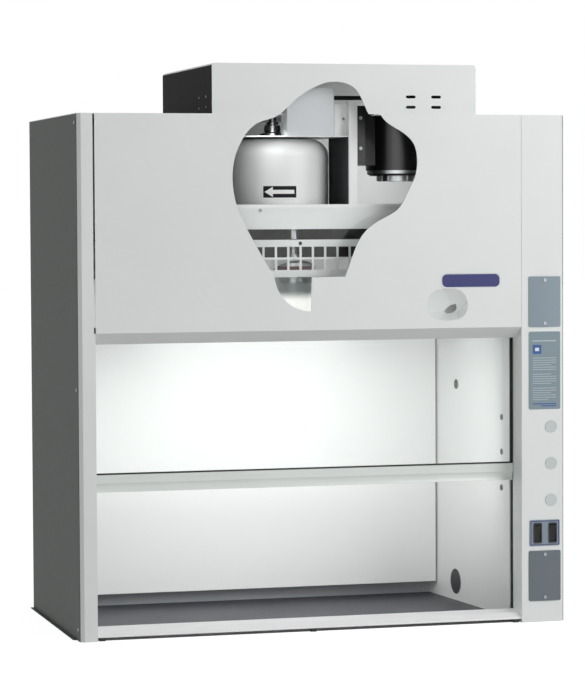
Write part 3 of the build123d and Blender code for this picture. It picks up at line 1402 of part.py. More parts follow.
for z, name in ((TOP_PULLEY_Z, "top_pulleys"), (LOW_PULLEY_Z, "low_pulleys")):
    with BuildPart() as pulleys:
        for side in (-1, 1):
            add(sash_pulley(side, z))
    finish(name, pulleys)

with BuildPart() as pulley_pins:
    for side in (-1, 1):
        near = OPEN_RIGHT if side > 0 else OPEN_LEFT
        outer = near + side * (TRACK_REACH + PLATE)
        inner = BELT_X[side] - side * (PULLEY_CORE / 2 + RIM_WIDTH + PIN_GAP)
        for z in (TOP_PULLEY_Z, LOW_PULLEY_Z):
            with BuildSketch(Plane.YZ.offset(outer)):
                with Locations((JAMB_BACK + PLATE_INSET, z)):
                    length = SASH_PULLEY_Y + PLATE_REACH - JAMB_BACK - PLATE_INSET
                    Rectangle(length, 2 * PLATE_HALF, align=(Align.MIN, Align.CENTER))
            extrude(amount=-side * PLATE)
            with BuildSketch(Plane.YZ.offset(outer)):
                with Locations((SASH_PULLEY_Y, z)):
                    Circle(PIN_RADIUS)
            extrude(amount=inner - outer)
            with BuildSketch(Plane.YZ.offset(inner)):
                with Locations((SASH_PULLEY_Y, z)):
                    Circle(PIN_HEAD)
            extrude(amount=-side * RIM_WIDTH)
finish("pulley_pins", pulley_pins)

# Counterweights hung on the rear strand of each belt
WEIGHT_REST = WEIGHT_LOW + SASH_UP
WEIGHT_FRONT = REAR_STRAND_Y - 11.0
WEIGHT_SHIFT = 3.0

for side, name in ((-1, "left_weight"), (1, "right_weight")):
    with BuildPart() as weight:
        with BuildSketch(Plane.XY.offset(WEIGHT_REST)):
            with Locations((BELT_X[side] + side * WEIGHT_SHIFT, WEIGHT_FRONT + WEIGHT_DEPTH / 2)):
                Rectangle(WEIGHT_WIDTH, WEIGHT_DEPTH)
            groove = REAR_STRAND_Y + SASH_BELT + FIT - WEIGHT_FRONT
            with Locations((BELT_X[side], WEIGHT_FRONT + groove / 2)):
                Rectangle(SASH_BELT_WIDTH + 2 * FIT, groove, mode=Mode.SUBTRACT)
        extrude(amount=WEIGHT_HEIGHT)
        chamfer(weight.edges().filter_by(Axis.Z).group_by(Axis.Y)[-1], 3.0)
    finish(name, weight)

# Blank covers on the right post
COVER_EDGE = 1.2
COVER_BOW = 3.0
COVER_CORNER = 4.0

with BuildPart() as cover_plates:
    for x, z in COVER_PLACES:
        with BuildSketch(Plane.XY.offset(z - COVER_HEIGHT / 2)):
            with BuildLine():
                ThreePointArc(
                    (x - COVER_WIDTH / 2, FRONT - COVER_EDGE),
                    (x, FRONT - COVER_BOW),
                    (x + COVER_WIDTH / 2, FRONT - COVER_EDGE),
                )
                Polyline(
                    (x + COVER_WIDTH / 2, FRONT - COVER_EDGE),
                    (x + COVER_WIDTH / 2, FRONT),
                    (x - COVER_WIDTH / 2, FRONT),
                    (x - COVER_WIDTH / 2, FRONT - COVER_EDGE),
                )
            make_face()
        extrude(amount=COVER_HEIGHT)
    fillet(cover_plates.edges().filter_by(Axis.Y), COVER_CORNER)
    with BuildSketch(front_plane(0)):
        with Locations(*cover_screw_points()):
            Circle(SCREW_RADIUS + FIT)
    extrude(amount=FACE_PROUD, mode=Mode.SUBTRACT)
finish("cover_plates", cover_plates)

# Switch plate
BODY_WIDTH = BEZEL_WIDTH - 4.0
BODY_TALL = BEZEL_HEIGHT - 5.0

with BuildPart() as switch_plate:
    with BuildSketch(front_plane(0)):
        with Locations((COVER_X, SWITCH_Z)):
            RectangleRounded(SWITCH_WIDTH, SWITCH_HEIGHT, 4.0)
        with Locations(*[(x, SWITCH_Z) for x in ROCKER_X]):
            Rectangle(BODY_WIDTH + 2 * FIT, BODY_TALL + 2 * FIT, mode=Mode.SUBTRACT)
    extrude(amount=COVER_THICK)
finish("switch_plate", switch_plate)

# Rocker switches
SWITCH_DEPTH = 22.0
POCKET_WIDTH = ROCKER_WIDTH + 0.6
POCKET_HALF = ROCKER_RADIUS + 0.5
POCKET_DEPTH = 7.0
STUB_RADIUS = 1.5
STUB_REACH = 0.9
RIDGE = 3.0
ROCKER_EDGE = 4.5
ROCKER_BACK = 2.0
TIP_REACH = math.sqrt(ROCKER_RADIUS**2 - ROCKER_EDGE**2)
TIP_RISE = ROCKER_EDGE * math.cos(math.radians(ROCKER_TILT)) + TIP_REACH * math.sin(math.radians(ROCKER_TILT))
PIVOT_Y = FRONT - FACE_PROUD + TIP_RISE

with BuildPart() as switch_bodies:
    with BuildSketch(front_plane(-COVER_THICK)):
        with Locations(*[(x, SWITCH_Z) for x in ROCKER_X]):
            RectangleRounded(BEZEL_WIDTH, BEZEL_HEIGHT, 3.0)
    extrude(amount=BEZEL_PROUD)
    with BuildSketch(front_plane(-COVER_THICK)):
        with Locations(*[(x, SWITCH_Z) for x in ROCKER_X]):
            Rectangle(BODY_WIDTH, BODY_TALL)
    extrude(amount=-COVER_THICK - SWITCH_DEPTH)
    with BuildSketch(front_plane(-COVER_THICK - BEZEL_PROUD)):
        with Locations(*[(x, SWITCH_Z) for x in ROCKER_X]):
            Rectangle(POCKET_WIDTH, 2 * POCKET_HALF)
    extrude(amount=-COVER_THICK - BEZEL_PROUD - POCKET_DEPTH, mode=Mode.SUBTRACT)
    for x in ROCKER_X:
        with BuildSketch(Plane.YZ.offset(x - POCKET_WIDTH / 2 - STUB_REACH)):
            with Locations((PIVOT_Y, SWITCH_Z)):
                Circle(STUB_RADIUS + SHAFT_PLAY)
        extrude(amount=POCKET_WIDTH + 2 * STUB_REACH, mode=Mode.SUBTRACT)
finish("switch_bodies", switch_bodies)


def rocker_corner(out, along):
    """Corner of a rocker, tilted to its rest position: out to the front, along upwards."""
    tilt = math.radians(ROCKER_TILT)
    proud = out * math.cos(tilt) + along * math.sin(tilt)
    rise = along * math.cos(tilt) - out * math.sin(tilt)
    return (PIVOT_Y - proud, SWITCH_Z + rise)


for x, name in zip(ROCKER_X, ("left_rocker", "right_rocker")):
    with BuildPart() as rocker:
        with BuildSketch(Plane.YZ.offset(x - ROCKER_WIDTH / 2)):
            with BuildLine():
                Polyline(
                    rocker_corner(ROCKER_EDGE, -TIP_REACH),
                    rocker_corner(RIDGE, 0),
                    rocker_corner(ROCKER_EDGE, TIP_REACH),
                    rocker_corner(-ROCKER_BACK, TIP_REACH),
                    rocker_corner(-ROCKER_BACK, -TIP_REACH),
                    close=True,
                )
            make_face()
        extrude(amount=ROCKER_WIDTH)
        with BuildSketch(Plane.YZ.offset(x - ROCKER_WIDTH / 2 - STUB_REACH)):
            with Locations((PIVOT_Y, SWITCH_Z)):
                Circle(STUB_RADIUS)
        extrude(amount=ROCKER_WIDTH + 2 * STUB_REACH)
    finish(name, rocker)

# Plugs in the spare ports of the lining and the post
CAP_THICK = 1.2
CAP_STUB = 4.0

with BuildPart() as blanking_plugs:
    with BuildSketch(front_plane(0)):
        with Locations(*[(CAP_X, z) for z in CAP_Z]):
            Circle(CAP_RADIUS)
    extrude(amount=CAP_THICK)
    with BuildSketch(front_plane(0)):
        with Locations(*[(CAP_X, z) for z in CAP_Z]):
            Circle(CAP_HOLE - FIT)
    extrude(amount=-CAP_STUB)
    for depth, z, radius in PORTS:
        with BuildSketch(wall_plane(1, FRONT + depth, z)):
            Circle(radius)
        extrude(amount=PLUG_FLANGE)
        with BuildSketch(wall_plane(1, FRONT + depth, z)):
            Circle(radius - PORT_LIP - FIT)
        extrude(amount=-LINER)
finish("blanking_plugs", blanking_plugs)

# Screws, each head seated on the sheet that it holds
def screw(x, y, z, way):
    """Pan head screw seated at a place, its head looking along way."""
    seat = Plane((x, y, z), z_dir=way)
    with BuildPart(mode=Mode.PRIVATE) as piece:
        with BuildSketch(seat):
            Circle(HEAD_RADIUS)
        extrude(amount=HEAD_HEIGHT)
        with BuildSketch(seat):
            Circle(SCREW_RADIUS)
        extrude(amount=-SCREW_LENGTH)
    return piece.part


with BuildPart() as screws:
    for side in (-1, 1):
        for y, z in SIDE_SCREWS:
            add(screw(side * WIDTH / 2, y, z, (side, 0, 0)))
    for x, z in REAR_SCREWS:
        add(screw(x, BACK, z, (0, 1, 0)))
    for x, z in cover_screw_points():
        add(screw(x, FRONT - COVER_BOW, z, (0, -1, 0)))
    for x in BEAM_SCREW_X:
        add(screw(x, MECH_FRONT, BEAM_TOP - BEAM_SCREW_DROP, (0, -1, 0)))
    for rise in BRACKET_SCREW_RISE:
        add(screw(BRACKET_SCREW_X, MECH_FRONT + UPRIGHT_DEPTH, BRACKET_BOTTOM + rise, (0, -1, 0)))
finish("screws", screws)
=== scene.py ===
import math

import bmesh
import bpy
from mathutils import Matrix, Vector


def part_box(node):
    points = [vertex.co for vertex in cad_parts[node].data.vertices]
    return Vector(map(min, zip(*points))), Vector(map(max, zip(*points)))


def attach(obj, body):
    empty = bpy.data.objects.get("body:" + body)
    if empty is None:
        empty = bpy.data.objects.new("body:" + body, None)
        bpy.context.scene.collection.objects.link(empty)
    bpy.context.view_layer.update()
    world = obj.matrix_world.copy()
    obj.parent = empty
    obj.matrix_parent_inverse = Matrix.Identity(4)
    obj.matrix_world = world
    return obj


bl_info = {
    "name": "Bench Fume Hood Dressing",
    "version": (1, 0, 0),
    "blender": (4, 5, 0),
    "location": "3D View > Sidebar > Fume Hood",
    "description": "Finishes and small pieces for a benchtop fume hood built on its CAD frame",
    "category": "Object",
}

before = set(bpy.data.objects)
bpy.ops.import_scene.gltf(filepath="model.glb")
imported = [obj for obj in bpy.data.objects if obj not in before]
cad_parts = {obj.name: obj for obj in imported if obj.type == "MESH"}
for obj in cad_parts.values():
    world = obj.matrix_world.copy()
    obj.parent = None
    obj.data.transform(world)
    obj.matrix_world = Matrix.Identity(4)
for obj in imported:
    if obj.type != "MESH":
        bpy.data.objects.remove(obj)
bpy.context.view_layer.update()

# Places read from the frame, in metres
FACE_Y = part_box("left_post")[0].y
OPEN_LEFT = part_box("left_post")[1].x
OPEN_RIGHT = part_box("right_post")[0].x
BAFFLE_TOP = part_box("rear_baffle")[1].z
COVER_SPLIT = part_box("switch_plate")[0].z

# The blower's drum and the arrow on it
DRUM_RADIUS = 0.135
DRUM_AXIS = (-0.066, FACE_Y + 0.240)
DRUM_SINK = 0.0002
ARROW_MIDDLE = math.radians(-7.65)
ARROW_RISE = 1.04315

# The label on the right post: its middle, film and print
LABEL_SPOT = (0.546, 0.610)
LABEL_CORNER = 0.004
FILM_THICKNESS = 0.0006
PRINT_THICKNESS = 0.00025
PRINT_EDGE = 0.030
LINE_COUNT = 19
LINE_GAPS = (6, 12)
LINE_TOP = 0.031
LINE_PITCH = 0.0056
LINE_HEIGHT = 0.0016
FOOT_LINE_HEIGHT = 0.0024

# The blank plate on the front panel
PLATE_SPOT = (0.359, 0.829)
PLATE_THICKNESS = 0.0012
PLATE_RIM = 0.0026
PLATE_SINK = 0.0004

# The border printed on the switch plate
BORDER_PROUD = 0.0003
BORDER_SINK = 0.0002
BORDER_INSET = 0.0022

# The feet under the air foil
FOOT_INSET = 0.005
FOOT_FRONT = 0.006
FOOT_BACK = 0.015
FOOT_HEIGHT = 0.0078
FOOT_EDGE = 0.001

# Fine bumps of a coat, and heights between which the jar fades
PEEL_DEPTH = 0.0004
GRAIN_DEPTH = 0.0002
JAR_DULL = 0.808
JAR_BRIGHT = 0.780


def linear(red, green, blue, alpha=1.0):
    """Display colour from 0 to 255 as a linear colour."""
    steps = []
    for value in (red, green, blue):
        c = value / 255
        steps.append(c / 12.92 if c <= 0.04045 else ((c + 0.055) / 1.055) ** 2.4)
    return (*steps, alpha)


def colour_property(name, description, *display):
    """Colour property of a finish, from a display colour."""
    return bpy.props.FloatVectorProperty(
        name=name,
        description=description,
        subtype="COLOR",
        size=3,
        min=0.0,
        max=1.0,
        default=linear(*display)[:3],
    )


def length_property(name, description, default):
    """Length property of a piece."""
    return bpy.props.FloatProperty(
        name=name, description=description, default=default, min=0.0, unit="LENGTH"
    )


def power_property(name, description, default):
    """Strength property of a light."""
    return bpy.props.FloatProperty(name=name, description=description, default=default, min=0.0)


# Values that a user would change


class CabinetSettings(bpy.types.PropertyGroup):
    """Colours of the cabinet's sheet metal and lining, with painted shade on the side panels and the canopy's
    ends
    """

    panel_colour: colour_property("Panel", "Powder coat of the posts and the front panel", 226, 229, 228)
    # Painted shade: the side panels share the front's pale coat, and this dark grey-green stands in for the
    # shade on them
    side_colour: colour_property("Side panel", "Powder coat of the side panels", 78, 84, 79)
    # Painted shade: the canopy's ends are the same pale sheet as its front, and this near black stands in for
    # the shade on them
    canopy_painted_shade_colour: colour_property("Canopy side", "Powder coat of the canopy's ends", 22, 25, 23)
    lining_colour: colour_property("Lining", "Smooth white lining of the chamber", 243, 244, 243)
    floor_colour: colour_property("Work top", "Dark work top", 74, 76, 82)
    cover_colour: colour_property("Covers", "Blank covers on the right post", 132, 146, 156)
    low_cover_colour: colour_property("Lower cover", "Powder coat of the lower blank cover", 98, 108, 115)
    peel: bpy.props.FloatProperty(
        name="Orange peel",
        description="Strength of the powder coat's fine bumps",
        default=0.06,
        min=0.0,
        max=1.0,
    )


class DriveSettings(bpy.types.PropertyGroup):
    """Colours of the blower, its drive and the lamp"""

    housing_colour: colour_property("Housing", "Painted drum of the blower", 226, 228, 228)
    motor_colour: colour_property("Motor", "Black enamel of the motor", 22, 22, 24)
    steel_colour: colour_property("Steel", "Zinc plated sheet steel", 190, 193, 194)
    gasket_colour: colour_property("Gasket", "Dark red rubber under the lamp's cap", 96, 30, 28)
    glow: bpy.props.FloatProperty(
        name="Lamp glow",
        description="Strength of the light from the frosted jar",
        default=0.7,
        min=0.0,
        max=5.0,
    )


class TrimSettings(bpy.types.PropertyGroup):
    """Sizes of the labels, plates and feet"""

    label_width: length_property("Label width", "Width of the label on the right post", 0.081)
    label_height: length_property("Label height", "Height of the label on the right post", 0.188)
    plate_width: length_property("Plate width", "Width of the blank plate on the front panel", 0.150)
    plate_height: length_property("Plate height", "Height of the blank plate on the front panel", 0.036)
    border_width: length_property("Switch border", "Width of the border on the switch plate", 0.0018)
    arrow_width: length_property("Arrow width", "Width of the arrow label round the drum", 0.0865)
    arrow_height: length_property("Arrow height", "Height of the arrow label on the drum", 0.0337)
    foot_width: length_property("Foot width", "Width of a foot under the air foil", 0.015)


class StageSettings(bpy.types.PropertyGroup):
    """Strengths of the lights and the sky"""

    key_power: power_property("Key light", "Power of the large light on the right", 96.0)
    fill_power: power_property("Fill light", "Power of the wide light in front", 30.0)
    chamber_power: power_property("Chamber light", "Power of the light inside the chamber", 1.5)
    bay_power: power_property("Bay lights", "Power of each light behind the front panel", 0.5)
    sky: power_property("Sky", "Strength of the even light from all round", 0.28)


# Shader node groups


def new_group(name, inputs, outputs):
    """Empty shader group with named sockets, and its input and output nodes."""
    group = bpy.data.node_groups.new(name, "ShaderNodeTree")
    for label, kind, default in inputs:
        socket = group.interface.new_socket(label, in_out="INPUT", socket_type=kind)
        socket.default_value = default
    for label, kind in outputs:
        group.interface.new_socket(label, in_out="OUTPUT", socket_type=kind)
    entry = group.nodes.new("NodeGroupInput")
    leave = group.nodes.new("NodeGroupOutput")
    return group, entry, leave


def noise_node(tree, scale, detail=2.0, roughness=0.5):
    """Noise texture with the given scale."""
    node = tree.nodes.new("ShaderNodeTexNoise")
    node.inputs["Scale"].default_value = scale
    node.inputs["Detail"].default_value = detail
    node.inputs["Roughness"].default_value = roughness
    return node


def math_node(tree, operation, first, second):
    """Math node on two sockets or numbers."""
    node = tree.nodes.new("ShaderNodeMath")
    node.operation = operation
    for slot, value in zip(node.inputs, (first, second)):
        if isinstance(value, (int, float)):
            slot.default_value = value
        else:
            tree.links.new(value, slot)
    return node.outputs[0]


def mix_node(tree, factor, low_colour, high_colour):
    """Mixes two plain colours by a factor."""
    mix = tree.nodes.new("ShaderNodeMix")
    mix.data_type = "RGBA"
    tree.links.new(factor, mix.inputs["Factor"])
    mix.inputs["A"].default_value = (*low_colour[:3], 1.0)
    mix.inputs["B"].default_value = (*high_colour[:3], 1.0)
    return mix.outputs["Result"]


def height_socket(tree, place):
    """Height of a point in the object's own coordinates."""
    split = tree.nodes.new("ShaderNodeSeparateXYZ")
    tree.links.new(place.outputs["Object"], split.inputs[0])
    return split.outputs["Z"]


def spread_node(tree, value, low, high):
    """Turns a noise value into a number between low and high."""
    node = tree.nodes.new("ShaderNodeMapRange")
    node.inputs["From Min"].default_value = 0.35
    node.inputs["From Max"].default_value = 0.65
    tree.links.new(value, node.inputs["Value"])
    for label, limit in (("To Min", low), ("To Max", high)):
        if isinstance(limit, (int, float)):
            node.inputs[label].default_value = limit
        else:
            tree.links.new(limit, node.inputs[label])
    return node.outputs["Result"]


def soft_patch_group():
    """Faint unevenness of a factory finish: colour, roughness and fine height."""
    inputs = (
        ("Vector", "NodeSocketVector", (0.0, 0.0, 0.0)),
        ("Colour", "NodeSocketColor", (0.8, 0.8, 0.8, 1.0)),
        ("Variation", "NodeSocketFloat", 0.03),
        ("Roughness", "NodeSocketFloat", 0.4),
        ("Peel Scale", "NodeSocketFloat", 700.0),
    )
    outputs = (
        ("Colour", "NodeSocketColor"),
        ("Roughness", "NodeSocketFloat"),
        ("Height", "NodeSocketFloat"),
    )
    group, entry, leave = new_group("Soft Patches", inputs, outputs)
    broad = noise_node(group, 5.0, 3.0)
    fine = noise_node(group, 60.0, 2.0)
    peel = noise_node(group, 700.0, 1.0)
    for node in (broad, fine, peel):
        group.links.new(entry.outputs["Vector"], node.inputs["Vector"])
    group.links.new(entry.outputs["Peel Scale"], peel.inputs["Scale"])
    low = math_node(group, "SUBTRACT", 1.0, entry.outputs["Variation"])
    high = math_node(group, "ADD", 1.0, entry.outputs["Variation"])
    level = spread_node(group, broad.outputs["Fac"], low, high)
    tint = group.nodes.new("ShaderNodeVectorMath")
    tint.operation = "SCALE"
    group.links.new(entry.outputs["Colour"], tint.inputs[0])
    group.links.new(level, tint.inputs["Scale"])
    group.links.new(tint.outputs["Vector"], leave.inputs["Colour"])
    wander = spread_node(group, fine.outputs["Fac"], -0.01, 0.01)
    rough = math_node(group, "ADD", entry.outputs["Roughness"], wander)
    group.links.new(rough, leave.inputs["Roughness"])
    group.links.new(peel.outputs["Fac"], leave.inputs["Height"])
    return group


def grain_group():
    """Fine lines left by rolling or brushing, along one axis."""
    inputs = (
        ("Vector", "NodeSocketVector", (0.0, 0.0, 0.0)),
        ("Colour", "NodeSocketColor", (0.6, 0.6, 0.6, 1.0)),
        ("Roughness", "NodeSocketFloat", 0.3),
        ("Stretch", "NodeSocketVector", (4.0, 400.0, 400.0)),
    )
    outputs = (
        ("Colour", "NodeSocketColor"),
        ("Roughness", "NodeSocketFloat"),
        ("Height", "NodeSocketFloat"),
    )
    group, entry, leave = new_group("Sheet Grain", inputs, outputs)
    pull = group.nodes.new("ShaderNodeVectorMath")
    pull.operation = "MULTIPLY"
    group.links.new(entry.outputs["Vector"], pull.inputs[0])
    group.links.new(entry.outputs["Stretch"], pull.inputs[1])
    lines = noise_node(group, 1.0, 3.0, 0.6)
    group.links.new(pull.outputs["Vector"], lines.inputs["Vector"])
    level = spread_node(group, lines.outputs["Fac"], 0.93, 1.05)
    tint = group.nodes.new("ShaderNodeVectorMath")
    tint.operation = "SCALE"
    group.links.new(entry.outputs["Colour"], tint.inputs[0])
    group.links.new(level, tint.inputs["Scale"])
    group.links.new(tint.outputs["Vector"], leave.inputs["Colour"])
    wander = spread_node(group, lines.outputs["Fac"], -0.06, 0.08)
    rough = math_node(group, "ADD", entry.outputs["Roughness"], wander)
    group.links.new(rough, leave.inputs["Roughness"])
    group.links.new(lines.outputs["Fac"], leave.inputs["Height"])
    return group


def facing_group():
    """Mask of the faces that look along one axis of the piece."""
    inputs = (("Normal", "NodeSocketVector", (0.0, 0.0, 1.0)), ("Axis", "NodeSocketVector", (1.0, 0.0, 0.0)))
    group, entry, leave = new_group("Facing Mask", inputs, (("Mask", "NodeSocketFloat"),))
    dot = group.nodes.new("ShaderNodeVectorMath")
    dot.operation = "DOT_PRODUCT"
    group.links.new(entry.outputs["Normal"], dot.inputs[0])
    group.links.new(entry.outputs["Axis"], dot.inputs[1])
    size = math_node(group, "ABSOLUTE", dot.outputs["Value"], 0.0)
    mask = math_node(group, "GREATER_THAN", size, 0.8)
    group.links.new(mask, leave.inputs["Mask"])
    return group


SOFT_PATCHES = soft_patch_group()
SHEET_GRAIN = grain_group()
FACING_MASK = facing_group()


# Materials


def blank_material(name):
    """Material with a Principled shader and the object's own coordinates."""
    material = bpy.data.materials.new(name)
    material.use_nodes = True
    tree = material.node_tree
    shader = tree.nodes["Principled BSDF"]
    place = tree.nodes.new("ShaderNodeTexCoord")
    return material, tree, shader, place


def dress(tree, shader, place, group, colour, roughness, bump, distance, **values):
    """Puts a group in front of the shader and feeds its colour, roughness and bump."""
    node = tree.nodes.new("ShaderNodeGroup")
    node.node_tree = group
    tree.links.new(place.outputs["Object"], node.inputs["Vector"])
    if isinstance(colour, bpy.types.NodeSocket):
        tree.links.new(colour, node.inputs["Colour"])
    else:
        node.inputs["Colour"].default_value = (*colour[:3], 1.0)
    node.inputs["Roughness"].default_value = roughness
    for label, value in values.items():
        node.inputs[label.replace("_", " ").title()].default_value = value
    tree.links.new(node.outputs["Colour"], shader.inputs["Base Color"])
    tree.links.new(node.outputs["Roughness"], shader.inputs["Roughness"])
    if bump > 0:
        raise_node = tree.nodes.new("ShaderNodeBump")
        raise_node.inputs["Strength"].default_value = bump
        raise_node.inputs["Distance"].default_value = distance
        tree.links.new(node.outputs["Height"], raise_node.inputs["Height"])
        tree.links.new(raise_node.outputs["Normal"], shader.inputs["Normal"])


def coat(name, colour, roughness=0.42, variation=0.02, peel=0.06, clear=0.0, shine=0.5):
    """Powder coat, enamel or moulded plastic."""
    material, tree, shader, place = blank_material(name)
    dress(tree, shader, place, SOFT_PATCHES, colour, roughness, peel, PEEL_DEPTH, variation=variation)
    shader.inputs["Coat Weight"].default_value = clear
    shader.inputs["Specular IOR Level"].default_value = shine
    return material


def two_tone(name, colour, side_colour, axis, roughness=0.42, peel=0.06):
    """Powder coat with another colour on the faces that look along one axis."""
    material, tree, shader, place = blank_material(name)
    mask = tree.nodes.new("ShaderNodeGroup")
    mask.node_tree = FACING_MASK
    mask.inputs["Axis"].default_value = axis
    tree.links.new(place.outputs["Normal"], mask.inputs["Normal"])
    mixed = mix_node(tree, mask.outputs["Mask"], colour, side_colour)
    dress(tree, shader, place, SOFT_PATCHES, mixed, roughness, peel, PEEL_DEPTH, variation=0.02)
    return material


def height_coat(name, low_colour, high_colour, border, roughness=0.42, peel=0.02):
    """Enamel that changes its colour at a height."""
    material, tree, shader, place = blank_material(name)
    above = math_node(tree, "GREATER_THAN", height_socket(tree, place), border)
    mixed = mix_node(tree, above, low_colour, high_colour)
    dress(tree, shader, place, SOFT_PATCHES, mixed, roughness, peel, PEEL_DEPTH, variation=0.01)
    return material


def metal(name, colour, roughness=0.32, stretch=(4.0, 400.0, 400.0), bump=0.04):
    """Bare or plated metal with a fine grain."""
    material, tree, shader, place = blank_material(name)
    shader.inputs["Metallic"].default_value = 1.0
    dress(tree, shader, place, SHEET_GRAIN, colour, roughness, bump, GRAIN_DEPTH, stretch=stretch)
    return material


def clear_glass(name, colour, roughness=0.02):
    """Clear glass."""
    material, tree, shader, place = blank_material(name)
    dress(tree, shader, place, SOFT_PATCHES, colour, roughness, 0.0, 0.0, variation=0.004)
    for link in list(shader.inputs["Roughness"].links):
        tree.links.remove(link)
    shader.inputs["Roughness"].default_value = roughness
    shader.inputs["Transmission Weight"].default_value = 1.0
    shader.inputs["IOR"].default_value = 1.45
    shader.inputs["Specular IOR Level"].default_value = 0.12
    return material


def glowing(name, colour, light, strength, dull, bright):
    """Frosted glass lit from inside, dull above one height and bright below the other."""
    material, tree, shader, place = blank_material(name)
    fade = tree.nodes.new("ShaderNodeMapRange")
    fade.interpolation_type = "SMOOTHSTEP"
    fade.inputs["From Min"].default_value = bright
    fade.inputs["From Max"].default_value = dull
    tree.links.new(height_socket(tree, place), fade.inputs["Value"])
    glass = mix_node(tree, fade.outputs["Result"], colour, linear(150, 156, 158))
    dress(tree, shader, place, SOFT_PATCHES, glass, 0.3, 0.05, 0.0003, variation=0.01)
    shine = mix_node(tree, fade.outputs["Result"], light, linear(30, 32, 33))
    tree.links.new(shine, shader.inputs["Emission Color"])
    shader.inputs["Emission Strength"].default_value = strength
    return material


def wear(material, *nodes):
    """Gives a material to CAD nodes."""
    for node in nodes:
        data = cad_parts[node].data
        data.materials.clear()
        data.materials.append(material)


# Modelling helpers


def clear_selection():
    """Deselects everything and leaves edit mode."""
    if bpy.context.object and bpy.context.object.mode != "OBJECT":
        bpy.ops.object.mode_set(mode="OBJECT")
    bpy.ops.object.select_all(action="DESELECT")


def select_only(piece):
    """Makes one piece the selected and active object."""
    clear_selection()
    bpy.context.view_layer.objects.active = piece
    piece.select_set(True)


def enter_edit(piece, kind):
    """Opens one piece in edit mode with nothing selected."""
    select_only(piece)
    bpy.ops.object.mode_set(mode="EDIT")
    bpy.ops.mesh.select_mode(type=kind)
    bpy.ops.mesh.select_all(action="DESELECT")
    return bmesh.from_edit_mesh(piece.data)


def settle(name):
    """Applies the active object's place to its mesh and names it."""
    piece = bpy.context.object
    bpy.ops.object.transform_apply(location=True, rotation=True, scale=True)
    piece.name = name
    piece.data.name = name
    return piece


def block(name, low, high):
    """Box between two corners."""
    clear_selection()
    middle = [(a + b) / 2 for a, b in zip(low, high)]
    bpy.ops.mesh.primitive_cube_add(size=1.0, location=middle)
    bpy.context.object.scale = [b - a for a, b in zip(low, high)]
    return settle(name)


def round_upright_edges(piece, axis, radius, segments=4):
    """Rounds the edges of a plate that run along one axis."""
    mesh = enter_edit(piece, "EDGE")
    for edge in mesh.edges:
        way = (edge.verts[1].co - edge.verts[0].co).normalized()
        edge.select = abs(way[axis]) > 0.99
    bmesh.update_edit_mesh(piece.data)
    bpy.ops.mesh.bevel(offset=radius, segments=segments)
    bpy.ops.object.mode_set(mode="OBJECT")


def soften(piece, width, segments=2):
    """Bevels the sharp edges of a piece."""
    select_only(piece)
    bevel = piece.modifiers.new("Edge", "BEVEL")
    bevel.width = width
    bevel.segments = segments
    bevel.limit_method = "ANGLE"
    bpy.ops.object.modifier_apply(modifier="Edge")
    bpy.ops.object.shade_smooth_by_angle(angle=math.radians(40))


def inset_face(piece, axis, side, thickness, depth):
    """Insets the face that looks along an axis and moves it out or in."""
    mesh = enter_edit(piece, "FACE")
    mesh.normal_update()
    for face in mesh.faces:
        face.select = face.normal[axis] * side > 0.9
    bmesh.update_edit_mesh(piece.data)
    bpy.ops.mesh.inset(thickness=thickness, depth=depth)
    bpy.ops.object.mode_set(mode="OBJECT")


def colour_faces(piece, materials, choose):
    """Gives each face of a piece the material whose number choose returns for it."""
    piece.data.materials.clear()
    for material in materials:
        piece.data.materials.append(material)
    for face in piece.data.polygons:
        face.material_index = choose(face)


def join(name, pieces):
    """Joins pieces into one."""
    clear_selection()
    for piece in pieces:
        piece.select_set(True)
    bpy.context.view_layer.objects.active = pieces[0]
    bpy.ops.object.join()
    pieces[0].name = name
    pieces[0].data.name = name
    return pieces[0]


def place_on_body(piece, body):
    """Lets a piece ride on a CAD body."""
    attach(piece, body)


# Operators


